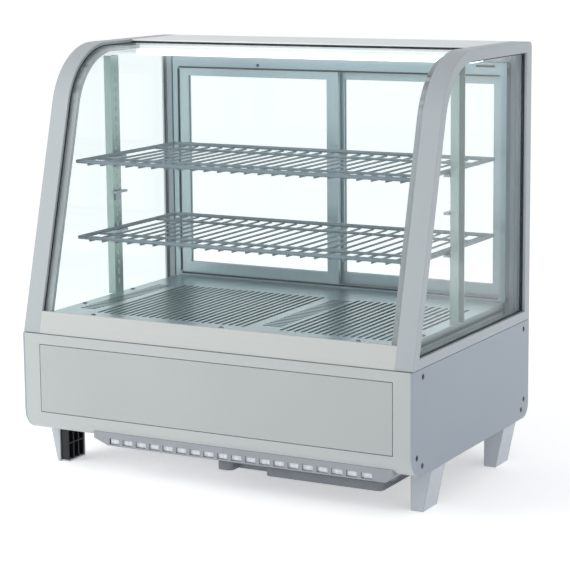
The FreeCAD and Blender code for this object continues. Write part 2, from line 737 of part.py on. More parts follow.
def make_foot(node, side, low_y, front_inner):
    """A moulded foot, hollow and open on its inboard side."""
    high_y = low_y + S.foot_long
    shell = prism(node + "_shell", "XZ_Plane",
                  foot_outline(side, foot_inner, half_width, foot_floor_outer, 0),
                  low_y, high_y)
    hollow = prism(node + "_hollow", "XZ_Plane",
                   foot_outline(side, foot_inner - S.over, half_width, foot_floor_outer,
                                S.foot_wall),
                   low_y + S.foot_wall, high_y - S.foot_wall)
    tools = [hollow]
    if front_inner > foot_inner:
        reach = sorted((side * (foot_inner - S.over), side * front_inner))
        tools.append(box(node + "_notch", reach, (low_y - S.over, low_y + S.foot_wall),
                         (-S.over, S.leg_height - S.foot_wall)))
    keep(node, cut(node + "_open", shell, tools))


foot_rows = {"front": front + S.front_foot_in, "rear": rear - S.rear_foot_in}


def make_feet():
    for end, low_y in foot_rows.items():
        make_foot(f"{end}_left_foot", -1, low_y, foot_inner + S.foot_short)
        make_foot(f"{end}_right_foot", 1, low_y, foot_inner)


def make_rib_inserts():
    """A black ribbed block inside each foot: a back plate with crossing ribs."""
    height = (S.foot_wall, S.leg_height)
    back = foot_floor_outer - S.foot_wall - S.rib_gap - S.rib_back_gap
    inserts = []
    for side in (-1, 1):
        for low_y in foot_rows.values():
            front_face = low_y + S.foot_wall + S.rib_gap
            rear_face = low_y + S.foot_long - S.foot_wall - S.rib_gap
            plate = box("rib_plate", sorted((side * back, side * (back - S.rib_wall))),
                        (front_face, rear_face), height)
            reach = sorted((side * back, side * (foot_inner + S.rib_inset)))
            pitch = (rear_face - front_face - S.rib_wall) / (S.rib_count - 1)
            walls = []
            for index in range(int(S.rib_count)):
                y = front_face + pitch * index
                walls.append(box("rib_wall", reach, (y, y + S.rib_wall), height))
            middle = height[0] + (height[1] - height[0]) * S.rib_shelf_share
            shelf = box("rib_shelf", reach, (front_face, rear_face),
                        (middle, middle + S.rib_wall))
            inserts.append(fuse("rib_insert", [plate, shelf] + walls))
    group = doc.addObject("Part::Compound", "rib_group")
    group.Links = inserts
    keep("foot_rib_inserts", group)


# ---------------------------------------------------------------------------
# Upper frame and glass
# ---------------------------------------------------------------------------
pane_outer = half_width - S.ring_lip
pane_inner = pane_outer - S.pane
inner_pane_outer = pane_inner - S.side_gap
inner_pane_inner = inner_pane_outer - S.pane
window_low = S.base_top + S.ring_low
window_back = rear - S.ring_rear
pilaster_out = inner_pane_inner
glass_inset = S.ring_wide - S.ring_groove
glass_low = window_low - S.ring_groove
glass_back = window_back + S.ring_groove


def make_side_frames():
    """The moulded ring round each side window, as deep as the front post is wide."""
    ring = prism("ring_outer", "YZ_Plane", outer_side_outline(), post_inner, half_width)
    window = prism("ring_window", "YZ_Plane",
                   side_outline(S.ring_wide, window_low, window_back),
                   post_inner - S.over, half_width + S.over)
    rebate = prism("ring_rebate", "YZ_Plane",
                   side_outline(glass_inset, glass_low, glass_back),
                   post_inner - S.over, pane_outer)
    right = cut("ring_cut", ring, [window, rebate])
    keep("right_side_frame", right)
    keep("left_side_frame", mirrored("ring_twin", right))


def make_side_glass():
    """Double glazing each side: two panes with a spacer bar round their edge."""
    play = S.front_clear
    outline = side_outline(glass_inset + play, glass_low + play, glass_back - play)
    inner_outline = side_outline(S.ring_wide, window_low, window_back)
    outer = prism("outer_pane", "YZ_Plane", outline, pane_inner, pane_outer)
    keep("right_outer_glass", outer)
    keep("left_outer_glass", mirrored("outer_pane_twin", outer))
    inner = prism("inner_pane", "YZ_Plane", outline, inner_pane_inner, inner_pane_outer)
    keep("right_inner_glass", inner)
    keep("left_inner_glass", mirrored("inner_pane_twin", inner))
    bar = prism("spacer_bar", "YZ_Plane", outline, inner_pane_outer, pane_inner)
    hole = prism("spacer_hole", "YZ_Plane", inner_outline, inner_pane_outer - S.over,
                 pane_inner + S.over)
    right = cut("spacer_ring", bar, [hole])
    group = doc.addObject("Part::Compound", "side_spacer_group")
    group.Links = [right, mirrored("spacer_ring_twin", right)]
    keep("side_glass_spacers", group)


def curved_sheet(name, inset, thick, low, half):
    """A sheet that follows the front curve at a given inset and ends at front_end."""
    outline = curve_up(inset, low) + [(S.front_end, S.height - inset)]
    outline += [(S.front_end, S.height - inset - thick)] + curve_down(inset + thick, low)
    return prism(name, "YZ_Plane", outline, -half, half)


def make_front_glass():
    """Curved double glazing between the posts, with a spacer strip down each edge."""
    half = post_inner - S.front_clear
    second = S.front_recess + S.pane + S.front_gap
    keep("front_outer_glass",
         curved_sheet("front_outer_pane", S.front_recess, S.pane, sill_seat, half))
    keep("front_inner_glass",
         curved_sheet("front_inner_pane", second, S.pane, sill_seat, half))
    filling = curved_sheet("front_spacer_sheet", S.front_recess + S.pane, S.front_gap,
                           sill_seat, half)
    middle = box("front_spacer_middle", (-half + S.spacer_wide, half - S.spacer_wide),
                 (front, rear), (sill_seat + S.spacer_wide, S.height))
    keep("front_glass_spacers", cut("front_spacer_frame", filling, [middle]))


def make_sill():
    """The front sill that holds the bottom of the curved glass in its groove."""
    lip = S.front_recess - S.front_clear
    back = slant_y(S.sill_deep, sill_seat)
    outline = [(slant_y(0, S.base_top), S.base_top), (slant_y(0, sill_top), sill_top),
               (slant_y(lip, sill_top), sill_top), (slant_y(lip, sill_seat), sill_seat),
               (back, sill_seat), (back, S.base_top)]
    keep("front_sill", prism("sill_bar", "YZ_Plane", outline, -post_inner, post_inner))


top_flange_low = S.height - S.top_flange_drop


def make_top():
    """The opaque top panel with its rear turn-down, and the seal under its nose."""
    back = rear - S.rear_radius
    centre = (back, S.height - S.rear_radius)
    low = S.height - S.top_sheet
    nose = (S.front_end - S.gasket_deep, S.height - S.top_nose)
    outline = [(nose[0], S.height), (back, S.height, S.rear_radius, centre),
               (rear, centre[1]), (rear, top_flange_low),
               (rear - S.top_sheet, top_flange_low),
               (rear - S.top_sheet, centre[1], S.rear_radius - S.top_sheet, centre),
               (back, low), (S.front_end, low), (S.front_end, nose[1]), nose]
    keep("top_panel", prism("top_sheet", "YZ_Plane", outline, -post_inner, post_inner))
    seal = box("top_seal", (-post_inner + S.front_clear, post_inner - S.front_clear),
               (nose[0], S.front_end), (S.height - S.front_recess, nose[1]))
    keep("top_gasket", seal)


def make_lamp():
    """The lamp housing under the top panel, its light strip and its diffuser."""
    ceiling = S.height - S.top_sheet
    half = post_inner - S.lamp_end_gap
    low = S.height - S.lamp_drop
    wall = S.lamp_wall
    depth = (S.front_end, S.front_end + S.lamp_deep)
    shell = box("lamp_block", (-half, half), depth, (low, ceiling))
    hollow = box("lamp_hollow", (-half + wall, half - wall), (depth[0] + wall, depth[1] - wall),
                 (low - S.over, ceiling - wall))
    keep("lamp_housing", cut("lamp_shell", shell, [hollow]))
    middle = (depth[0] + depth[1]) / 2
    strip_half = half - S.strip_end_gap
    keep("led_strip", box("light_strip", (-strip_half, strip_half),
                          (middle - S.strip_wide / 2, middle + S.strip_wide / 2),
                          (ceiling - wall - S.strip_thick, ceiling - wall)))
    keep("lamp_diffuser", box("lamp_cover", (-half, half), depth,
                              (low - S.diffuser_thick, low)))


# ---------------------------------------------------------------------------
# Rear tracks, jambs and sliding doors
# ---------------------------------------------------------------------------
rear_lip = (rear - S.rear_lip, rear)
outer_lane = (rear_lip[0] - S.door_play - S.door_thick, rear_lip[0] - S.door_play)
middle_lip = (outer_lane[0] - S.door_play - S.mid_lip, outer_lane[0] - S.door_play)
inner_lane = (middle_lip[0] - S.door_play - S.door_thick, middle_lip[0] - S.door_play)
front_lip = (inner_lane[0] - S.door_play - S.track_lip, inner_lane[0] - S.door_play)
track_front = front_lip[0]
track_low = S.base_top + S.track_up
track_floor = S.base_top + S.track_floor_up
track_lip_top = S.base_top + S.track_lip_up
header_low = S.height - S.header_drop
header_web = S.height - S.header_web_drop
door_low = track_floor + S.door_glide
door_high = header_web - S.door_lift
door_outer = post_inner - S.jamb_web - S.door_end_gap
bottom_rail = S.base_top + S.bottom_rail_up
top_rail = S.height - S.top_rail_drop


def make_tracks():
    """Two-lane tracks above and below the doors, each with three lips."""
    span = (-post_inner, post_inner)
    floor = box("track_floor", span, (track_front, rear), (track_low, track_floor))
    lips = [box("track_lip", span, lip, (track_low, track_lip_top))
            for lip in (front_lip, middle_lip, rear_lip)]
    keep("bottom_door_track", fuse("lower_track", [floor] + lips))
    web = box("header_web", span, (track_front, rear - S.top_sheet),
              (header_web, top_flange_low))
    lips = [box("header_lip", span, lip, (header_low, top_flange_low))
            for lip in (front_lip, middle_lip, rear_lip)]
    keep("top_door_track", fuse("upper_track", [web] + lips))


def make_jambs():
    """Upright channels that close the doors' outer edges."""
    height = (track_lip_top, header_low)
    web = box("jamb_web", (post_inner - S.jamb_web, post_inner), (track_front, rear), height)
    lips = [box("jamb_lip", (post_inner - S.jamb_deep, post_inner), lip, height)
            for lip in (front_lip, middle_lip, rear_lip)]
    right = fuse("jamb", [web] + lips)
    keep("right_door_jamb", right)
    keep("left_door_jamb", mirrored("jamb_twin", right))


def make_door(node, side, lane):
    """One sliding door: a frame with a groove for its pane and a finger grip."""
    frame_x = (-door_outer, S.door_meeting) if side < 0 else (-S.door_meeting, door_outer)
    left_stile, right_stile = S.stile, S.meeting_stile
    grip_middle = frame_x[0] + S.stile / 2
    if side > 0:
        left_stile, right_stile = S.meeting_stile, S.stile
        grip_middle = frame_x[1] - S.stile / 2
    frame = box(node + "_block", frame_x, lane, (door_low, door_high))
    opening = (frame_x[0] + left_stile, frame_x[1] - right_stile)
    hole = box(node + "_hole", opening, (lane[0] - S.over, lane[1] + S.over),
               (bottom_rail, top_rail))
    middle = (lane[0] + lane[1]) / 2
    pane_y = (middle - S.door_glass / 2, middle + S.door_glass / 2)
    pane_x = (opening[0] - S.glass_seat, opening[1] + S.glass_seat)
    pane_z = (bottom_rail - S.glass_seat, top_rail + S.glass_seat)
    groove = box(node + "_groove", pane_x, pane_y, pane_z)
    grip_level = (door_low + door_high) / 2
    grip = box(node + "_grip", (grip_middle - S.grip_wide / 2, grip_middle + S.grip_wide / 2),
               (lane[1] - S.grip_deep, lane[1] + S.over),
               (grip_level - S.grip_long / 2, grip_level + S.grip_long / 2))
    keep(node + "_frame", cut(node + "_sash", frame, [hole, groove, grip]))
    keep(node + "_glass", box(node + "_pane", pane_x, pane_y, pane_z))


def make_doors():
    make_door("left_door", -1, inner_lane)
    make_door("right_door", 1, outer_lane)


# ---------------------------------------------------------------------------
# Pilasters, clips, shelves and deck
# ---------------------------------------------------------------------------
pilaster_in = pilaster_out - S.pilaster_wide
pilaster_front = arc_centre_y
pilaster_back = pilaster_front + S.pilaster_deep
pilaster_middle = (pilaster_front + pilaster_back) / 2
lower_level = deck_top + S.lower_shelf_up
upper_level = deck_top + S.upper_shelf_up
shelf_levels = (lower_level, deck_top + S.spare_clip_up, upper_level)
inner_glass_inset = S.front_recess + S.pane * 2 + S.front_gap


def make_pilasters():
    """A slotted shelf standard on each side, a channel open towards the glass."""
    body = new_body("pilaster")
    wall = S.pilaster_wall
    face, lip = pilaster_in + wall, (pilaster_front + wall, pilaster_back - wall)
    high = S.height - S.ring_wide - S.pilaster_top_gap
    pad(body, "XY_Plane",
        [(pilaster_in, pilaster_front), (pilaster_out, pilaster_front),
         (pilaster_out, lip[0]), (face, lip[0]), (face, lip[1]), (pilaster_out, lip[1]),
         (pilaster_out, pilaster_back), (pilaster_in, pilaster_back)],
        deck_top, high)
    first = deck_top + S.pilaster_pitch
    half_slot = S.pilaster_slot_wide / 2
    slot = pocket_between(
        body, "YZ_Plane",
        [rectangle((pilaster_middle - half_slot, pilaster_middle + half_slot),
                   (first, first + S.pilaster_slot_high))],
        pilaster_in - S.over, face + S.over)
    count = int((high - deck_top) / S.pilaster_pitch) - 1
    row(body, slot, "Z_Axis", S.pilaster_pitch, count)
    keep("right_pilaster", body)
    keep("left_pilaster", mirrored("pilaster_twin", body))


def make_clips():
    """Shelf clips: a block on the pilaster at each level, under the shelf's side rod."""
    half = S.clip_deep / 2
    clips = []
    for side in (-1, 1):
        for level in shelf_levels:
            top = level - S.shelf_rod - S.shelf_rest
            reach = sorted((side * pilaster_in, side * (pilaster_in - S.clip_reach)))
            arm = box("clip_arm", reach, (pilaster_middle - half, pilaster_middle + half),
                      (top - S.clip_thick, top))
            hold = sorted((side * pilaster_in, side * (pilaster_in - S.clip_web)))
            web = box("clip_web", hold, (pilaster_middle - half / 2, pilaster_middle + half / 2),
                      (top - S.clip_web_high, top))
            clips.append(fuse("shelf_clip", [arm, web]))
    group = doc.addObject("Part::Compound", "clip_group")
    group.Links = clips
    keep("shelf_clips", group)


shelf_half = pilaster_in - S.shelf_side_gap
shelf_front = slant_y(inner_glass_inset, upper_level) + S.shelf_glass_gap
shelf_rear = track_front - S.shelf_door_gap


def make_shelf(node, level):
    """A welded wire shelf: a rod frame, two cross rods and front-to-back wires below."""
    half = shelf_half - S.shelf_rod
    ends = (shelf_front + S.shelf_rod, shelf_rear - S.shelf_rod)
    rods = []
    for y in ends:
        rods.append(rod("shelf_rail", S.shelf_rod, (-half, y, level), half * 2, "x"))
    for x in (-half, half):
        rods.append(rod("shelf_side", S.shelf_rod, (x, ends[0], level),
                        ends[1] - ends[0], "y"))
        for y in ends:
            corner = doc.addObject("Part::Sphere", "shelf_corner")
            bind(corner, "Radius", S.shelf_rod)
            place(corner, x, y, level)
            rods.append(corner)
    wire_z = level - S.shelf_rod - S.shelf_wire * S.wire_sink
    count = int((half * 2) / S.wire_pitch)
    start = -(S.wire_pitch * (count - 1)) / 2
    for index in range(count):
        rods.append(rod("shelf_wire", S.shelf_wire,
                        (start + S.wire_pitch * index, shelf_front, wire_z),
                        shelf_rear - shelf_front, "y"))
    for share in (S.cross_share, 1 - S.cross_share):
        y = ends[0] + (ends[1] - ends[0]) * share
        rods.append(rod("shelf_cross", S.cross_wire,
                        (-half, y, wire_z + S.shelf_wire + S.wire_sink), half * 2, "x"))
    keep(node, fuse(node + "_welded", rods))


deck_half = post_inner - S.deck_side_gap
deck_y = (slant_y(inner_glass_inset, deck_top) + S.deck_glass_gap,
          track_front - S.deck_door_gap)
deck_low = sill_seat + S.deck_seat_gap
deck_slot_y = (deck_y[0] + S.deck_slot_in, deck_y[1] - S.deck_slot_rear_in)
deck_cut = (deck_top - S.deck_sheet - S.over, deck_top + S.over)


def long_slots(body, left, right):
    """A field of long slots that run front to back."""
    count = int((right - left) / S.long_slot_pitch)
    slot = pocket_between(
        body, "XY_Plane", [slot_outline((left, left + S.long_slot_wide), deck_slot_y)],
        *deck_cut)
    row(body, slot, "X_Axis", S.long_slot_pitch, count)


def short_slots(body, left, right):
    """A column of short slots that run side to side."""
    count = int((deck_slot_y[1] - deck_slot_y[0]) / S.short_slot_pitch) - int(S.short_slot_skip)
    start = deck_slot_y[0] + S.short_slot_pitch * S.short_slot_skip
    slot = pocket_between(
        body, "XY_Plane", [rectangle((left, right), (start, start + S.short_slot_wide))],
        *deck_cut)
    row(body, slot, "Y_Axis", S.short_slot_pitch, count)


def make_deck():
    """The slotted floor of the display, a sheet with turned-down edges."""
    body = new_body("deck_tray")
    sheet_thick = S.deck_sheet
    pad(body, "XY_Plane", rectangle((-deck_half, deck_half), deck_y), deck_low, deck_top)
    pocket_between(
        body, "XY_Plane",
        [rectangle((-deck_half + sheet_thick, deck_half - sheet_thick),
                   (deck_y[0] + sheet_thick, deck_y[1] - sheet_thick))],
        deck_low - S.over, deck_top - sheet_thick)
    edge_field = -deck_half + S.edge_slot_in
    middle_field = S.middle_slot_x + S.middle_slot_long
    short_slots(body, edge_field, edge_field + S.edge_slot_long)
    long_slots(body, -deck_half + S.long_slot_in, S.middle_slot_x - S.field_gap)
    short_slots(body, S.middle_slot_x, middle_field)
    long_slots(body, middle_field + S.field_gap, deck_half - S.right_slot_in)
    holes = [rod("deck_hole", S.screw_shank + S.screw_play, (x, y, sill_seat),
                 deck_top - sill_seat + S.over, "z") for x, y in deck_screw_places()]
    keep("deck_plate", cut("deck_drilled", body, holes))


def deck_screw_places():
    """Three screws behind the front edge and two beside each end."""
    line = deck_y[0] + S.deck_screw_line
    pitch = deck_half - S.deck_screw_in
    places = [(pitch * index, line) for index in (-1, 0, 1)]
    for side in (-1, 1):
        x = side * (deck_half - S.deck_end_screw)
        places += [(x, pilaster_front - S.deck_end_ahead), (x, pilaster_back + S.deck_end_after)]
    return places


def make_deck_screws():
    screws = []
    for x, y in deck_screw_places():
        screws.append(fuse("deck_screw", [
            rod("deck_head", S.deck_screw_radius, (x, y, deck_top), S.deck_head_high, "z"),
            rod("deck_shank", S.screw_shank, (x, y, deck_top - S.deck_screw_long),
                S.deck_screw_long, "z")]))
    group = doc.addObject("Part::Compound", "deck_screw_group")
    group.Links = screws
    keep("deck_screws", group)


tank_half = chassis_in - S.tank_gap
tank_y = (slant_y(S.sill_deep, sill_seat) + S.tank_gap, track_front - S.tank_door_gap)
cooler_floor = tank_low + S.foam


def make_tank():
    """Foam tub under the deck: deep on the left for the cooler, shallow on the right."""
    body = new_body("tank")
    top = S.base_top
    wall = S.foam
    pad(body, "XZ_Plane",
        [(-tank_half, top), (-tank_half, tank_low), (tank_step, tank_low),
         (tank_step, tank_shallow), (tank_half, tank_shallow), (tank_half, top)],
        *tank_y)
    left = -tank_half + wall + S.tank_end_foam
    shallow_floor = tank_shallow + wall / 2
    open_top = top + S.over
    pocket_between(
        body, "XZ_Plane",
        [[(left, open_top), (left, cooler_floor), (tank_step - wall, cooler_floor),
          (tank_step - wall, shallow_floor), (post_inner - wall, shallow_floor),
          (post_inner - wall, open_top)]],
        tank_y[0] + wall, tank_y[1] - wall)
    rims = [box("tank_rim", sorted((side * deck_half, side * (deck_half - wall))), tank_y,
                (top, deck_low)) for side in (-1, 1)]
    keep("insulated_tank", fuse("tank_with_rims", [body] + rims))


# ---------------------------------------------------------------------------
# Cooling parts
# ---------------------------------------------------------------------------
def coil(name, x, y, z, rows):
    """A finned block with tube bends standing out of both ends."""
    out = S.tube_bend_out
    pitch = (z[1] - z[0]) / rows
    middle = (y[0] + y[1]) / 2
    parts = [box(name + "_fins", x, y, z)]
    for index in range(int(rows)):
        level = z[0] + pitch * (index + 0.5)
        parts.append(rod(name + "_tube", S.tube_radius, (x[0] - out, middle, level),
                         x[1] - x[0] + out * 2, "x"))
        if index < int(rows) - 1:
            end = x[1] + out if index % 2 else x[0] - out
            parts.append(rod(name + "_bend", S.tube_radius, (end, middle, level), pitch, "z"))
    return fuse(name + "_coil", parts)


def fan_blades(name, x, y, z, radius, thick):
    """A hub on a Y axis, bored from behind, with flat pitched blades round it."""
    boss = rod(name + "_boss", S.hub_radius, (x, y, z), thick, "y")
    bore = rod(name + "_bore", S.shaft_radius + S.shaft_fit, (x, y + thick * 0.3, z),
               thick, "y")
    parts = [cut(name + "_hub", boss, [bore])]
    root_radius = S.hub_radius - S.shaft_radius
    for index in range(int(S.blade_count)):
        blade = doc.addObject("Part::Box", name + "_blade")
        bind(blade, "Length", radius - root_radius)
        bind(blade, "Width", S.blade_thick)
        bind(blade, "Height", radius * 0.5)
        turn = FreeCAD.Rotation(FreeCAD.Vector(0, 1, 0), 360 * index / S.blade_count)
        pitch = FreeCAD.Rotation(FreeCAD.Vector(1, 0, 0), float(S.blade_pitch))
        root = turn.multVec(FreeCAD.Vector(root_radius, 0, -radius * 0.2))
        blade.Placement = FreeCAD.Placement(FreeCAD.Vector(), turn * pitch)
        place(blade, x + root.x, y + thick * 0.35 + root.y, z + root.z)
        parts.append(blade)
    return fuse(name + "_rotor", parts)


def make_cold_side():
    """Evaporator coil, its square fan frame and its fan, inside the tank."""
    left = -half_width + S.evaporator_in
    x = (left, left + S.evaporator_wide)
    low_y = rear - S.evaporator_rear_in
    y = (low_y, low_y + S.evaporator_deep)
    z = (cooler_floor, S.base_top - S.evaporator_room)
    keep("evaporator_coil", coil("evaporator", x, y, z, S.evaporator_rows))
    half = S.cold_fan_radius + S.cold_fan_edge
    fan_x = (x[0] + x[1]) / 2
    fan_z = cooler_floor + half
    low = y[0] - S.cold_fan_thick
    frame = box("cold_fan_frame", (fan_x - half, fan_x + half), (low, y[0]),
                (cooler_floor, cooler_floor + half * 2))
    hole = rod("cold_fan_hole", S.cold_fan_radius, (fan_x, low - S.over, fan_z),
               S.cold_fan_thick + S.over * 2, "y")
    motor = rod("cold_fan_motor", S.hub_radius, (fan_x, y[0] - S.cold_motor_long, fan_z),
                S.cold_motor_long, "y")
    shaft = rod("cold_fan_shaft", S.shaft_radius, (fan_x, low + S.cold_shaft_in, fan_z),
                S.cold_fan_thick - S.cold_shaft_in - S.shaft_into, "y")
    arm = box("cold_fan_arm", (fan_x - half, fan_x + half), (y[0] - S.fan_arm_thick, y[0]),
              (fan_z - S.fan_arm / 2, fan_z + S.fan_arm / 2))
    keep("evaporator_fan_frame",
         fuse("cold_fan_body", [cut("cold_fan_ring", frame, [hole]), motor, shaft, arm]))
    keep("evaporator_fan_blade",
         fan_blades("cold", fan_x, low + S.over, fan_z, S.cold_fan_radius - S.fan_play,
                    S.cold_fan_hub))


shroud_back = condenser["y"][1] + S.shroud_deep
motor_front = shroud_back + S.motor_gap


def make_hot_side():
    """Condenser coil, fan shroud, fan motor and fan in the machine bay."""
    x, y, z = condenser["x"], condenser["y"], condenser["z"]
    wall = S.shroud_thick
    keep("condenser_coil", coil("condenser", x, y, z, S.condenser_rows))
    fan_x = (x[0] + x[1]) / 2
    fan_z = (z[0] + z[1]) / 2
    shroud = box("shroud_block", x, (y[1], shroud_back), z)
    hollow = box("shroud_hollow", (x[0] + wall, x[1] - wall),
                 (y[1] - S.over, shroud_back - wall), (z[0] + wall, z[1] - wall))
    hole = rod("shroud_hole", S.hot_fan_radius, (fan_x, shroud_back - wall - S.over, fan_z),
               wall + S.over * 2, "y")
    keep("condenser_fan_shroud", cut("shroud_shell", shroud, [hollow, hole]))
    motor = rod("hot_motor_can", S.motor_radius, (fan_x, motor_front, fan_z), S.motor_long, "y")
    shaft = rod("hot_motor_shaft", S.shaft_radius, (fan_x, motor_front - S.shaft_tip, fan_z),
                S.shaft_tip + S.shaft_into, "y")
    arm_z = (fan_z - S.motor_arm / 2, fan_z + S.motor_arm / 2)
    arm_back = motor_front + S.fan_arm_thick
    arm = box("hot_motor_arm", x, (motor_front, arm_back), arm_z)
    legs = [box("hot_motor_leg", leg, (shroud_back, arm_back), arm_z)
            for leg in ((x[0], x[0] + S.motor_leg), (x[1] - S.motor_leg, x[1]))]
    keep("condenser_fan_motor", fuse("hot_motor", [motor, shaft, arm] + legs))
    keep("condenser_fan_blade",
         fan_blades("hot", fan_x, shroud_back - S.hot_fan_back, fan_z,
                    S.hot_fan_radius - S.fan_play, S.hot_fan_hub))


compressor_x = condenser["x"][1] - S.compressor_in
compressor_y = rear - S.compressor_rear_in


def make_compressor():
    """Small hermetic compressor: a can with a domed lid on a four-leg plate."""
    body = new_body("compressor_can")
    sketch = sketch_in(body, "XZ_Plane", -compressor_y)
    low = floor_top + S.compressor_lift
    high = tank_shallow - S.compressor_room
    shoulder = high - S.compressor_dome
    radius = S.compressor_radius
    x = compressor_x
    add_outline(sketch, [(x, low), (x + radius * 0.8, low), (x + radius, low + radius * 0.2),
                         (x + radius, shoulder),
                         (x + radius * 0.8, high - S.compressor_dome / 3),
                         (x + radius * 0.4, high), (x, high)])
    turned = body.newObject("PartDesign::Revolution", "compressor_turned")
    turned.Profile = sketch
    turned.ReferenceAxis = (sketch, ["Edge7"])
    turned.Angle = 360
    plate = box("compressor_plate", (x - S.plate_half_long, x + S.plate_half_long),
                (compressor_y - S.plate_half_deep, compressor_y + S.plate_half_deep),
                (low + S.over - S.plate_thick, low + S.over))
    studs = [rod("compressor_foot", S.stud_radius,
                 (x + S.stud_x * across, compressor_y + S.stud_y * along, floor_top),
                 S.stud_high, "z")
             for across in (-1, 1) for along in (-1, 1)]
    keep("compressor", fuse("compressor_unit", [body, plate] + studs))


def tube(points, radius):
    """A bent tube: straight runs joined by tangent arcs, swept with a round section."""
    knots = [FreeCAD.Vector(*[float(value) for value in point]) for point in points]
    edges = []
    last = knots[0]
    bend = radius * S.tube_bend
    for before, corner, after in zip(knots, knots[1:], knots[2:]):
        into = (corner - before).normalize()
        out = (after - corner).normalize()
        half_turn = into.getAngle(out) / 2
        reach = bend * math.tan(half_turn)
        start = corner - into * reach
        finish = corner + out * reach
        inward = (out - into).normalize()
        centre = corner + inward * (bend / math.cos(half_turn))
        middle = centre - inward * bend
        edges.append(Part.makeLine(last, start))
        edges.append(Part.Arc(start, middle, finish).toShape())
        last = finish
    edges.append(Part.makeLine(last, knots[-1]))
    path = Part.Wire(edges)
    section = Part.Wire(Part.makeCircle(float(radius), knots[0], (knots[1] - knots[0])))
    return path.makePipeShell([section], True, True)


def make_pipes():
    """Copper lines between the compressor, both coils and the filter drier."""
    radius = S.tube_radius
    x, y = compressor_x, compressor_y
    high = tank_low + S.line_up
    riser = chassis_in - radius * 2
    coil_y = (condenser["y"][0] + condenser["y"][1]) / 2
    coil_end = condenser["x"][1] + S.tube_bend_out + radius
    low_z, high_z = condenser["z"]
    half_pitch = (high_z - low_z) / S.condenser_rows / 2
    coil_low = low_z + half_pitch
    coil_high = high_z - half_pitch
    drier_x = tank_step - S.drier_step_gap
    drier_y = motor_front + S.motor_long + S.drier_gap
    drier_end = drier_x + S.drier_long
    rise_x = drier_x - S.capillary_out
    suction = tube([(x - S.compressor_radius, y, high), (tank_step, y, high)], radius)
    delivery = tube([(x + S.compressor_radius, y, high), (riser, y, high),
                     (riser, coil_y, high), (riser, coil_y, coil_high),
                     (coil_end, coil_y, coil_high)], radius)
    liquid = tube([(coil_end, coil_y, coil_low), (riser, coil_y, coil_low),
                   (riser, drier_y, coil_low), (drier_end, drier_y, coil_low)], radius)
    capillary = tube([(drier_x, drier_y, coil_low), (rise_x, drier_y, coil_low),
                      (rise_x, drier_y, tank_low)], radius)
    drier = Part.makeCylinder(float(S.drier_radius), float(S.drier_long),
                              FreeCAD.Vector(drier_x, drier_y, coil_low),
                              FreeCAD.Vector(1, 0, 0))
    item = doc.addObject("Part::Feature", "pipes")
    item.Shape = Part.makeCompound([suction, delivery, liquid.fuse([drier, capillary])])
    item.Placement = FreeCAD.Placement()
    keep("refrigerant_pipes", item)


# ---------------------------------------------------------------------------
# Rear controls
# ---------------------------------------------------------------------------
control_z = (plate_z[0] + plate_z[1]) / 2
control_back = rear - S.skin - S.control_deep
control_face = control_back + S.face_thick
knob_x = plate_x[0] + S.knob_in
power_x = plate_x[0] + S.power_in
light_x = plate_x[0] + S.light_in


def make_control_panel():
    """Recessed plate in the rear panel that carries the knob and two rockers."""
    wall = S.control_wall
    cup = box("control_cup", plate_x, (control_back, rear), plate_z)
    hollow = box("control_hollow", (plate_x[0] + wall, plate_x[1] - wall),
                 (control_face, rear + S.over), (plate_z[0] + wall, plate_z[1] - wall))
    tools = [hollow]
    for rocker_x in (power_x, light_x):
        tools.append(box("rocker_opening", rocker_span(rocker_x, S.rocker_play),
                         (control_back - S.over, control_face + S.over), rocker_opening))
    spindle = rod("knob_spindle", S.spindle_radius,
                  (knob_x, control_face - S.spindle_root, control_z), S.spindle_long, "y")
    keep("control_panel", fuse("control_with_spindle", [cut("control_plate", cup, tools), spindle]))
    for node, rocker_x in (("power_switch", power_x), ("light_switch", light_x)):
        keep(node, rocker(node, rocker_x))


def make_knob():
    """The thermostat knob: a tapered cap with a pointer, bored for its spindle."""
    face = control_face + S.knob_gap
    cap = cone("knob_body", S.knob_radius, S.knob_radius * 0.85, (knob_x, face, control_z),
               S.knob_grip_high, "y")
    half = S.pointer_wide / 2
    pointer = box("knob_pointer", (knob_x - half, knob_x + half),
                  (face, face + S.pointer_high), (control_z, control_z + S.knob_radius * 0.95))
    bore = rod("knob_bore", S.spindle_radius + S.spindle_fit,
               (knob_x, control_face, control_z), S.knob_bore_deep, "y")
    keep("thermostat_knob", cut("knob_turned", fuse("knob_full", [cap, pointer]), [bore]))


def rocker_span(x, play):
    return (x - S.rocker_wide / 2 - play, x + S.rocker_wide / 2 + play)


rocker_half = S.rocker_high / 2 + S.rocker_play + S.rocker_tip
rocker_opening = (control_z - rocker_half, control_z + rocker_half)


def rocker(name, x):
    """A rocker key: a wedge-topped block that tips about its middle."""
    low = control_z - S.rocker_high / 2
    high = control_z + S.rocker_high / 2
    base = control_face - S.rocker_root
    proud = S.rocker_proud
    outline = [(base, low + S.rocker_taper), (control_face + proud * 0.3, low),
               (control_face + proud, low), (control_face + proud * 0.55, control_z),
               (control_face + proud * 0.4, high), (control_face - proud * 0.15, high),
               (base, high - S.rocker_taper)]
    return prism(name + "_key", "YZ_Plane", outline, *rocker_span(x, 0))


def make_gland():
    """Cable gland in the rear panel: a flanged bush with a bore for the mains lead."""
    start = rear - S.gland_long
    collar = rod("gland_collar", S.gland_radius, (gland_x, start, gland_z), S.gland_long, "y")
    flange = rod("gland_flange", S.gland_radius + S.gland_flange,
                 (gland_x, rear - S.skin - S.gland_flange_thick, gland_z),
                 S.gland_flange_thick, "y")
    bore = rod("gland_hole", S.gland_bore, (gland_x, start - S.over, gland_z),
               S.gland_long + S.over * 2, "y")
    keep("cable_gland", cut("gland_bush", fuse("gland_full", [collar, flange]), [bore]))


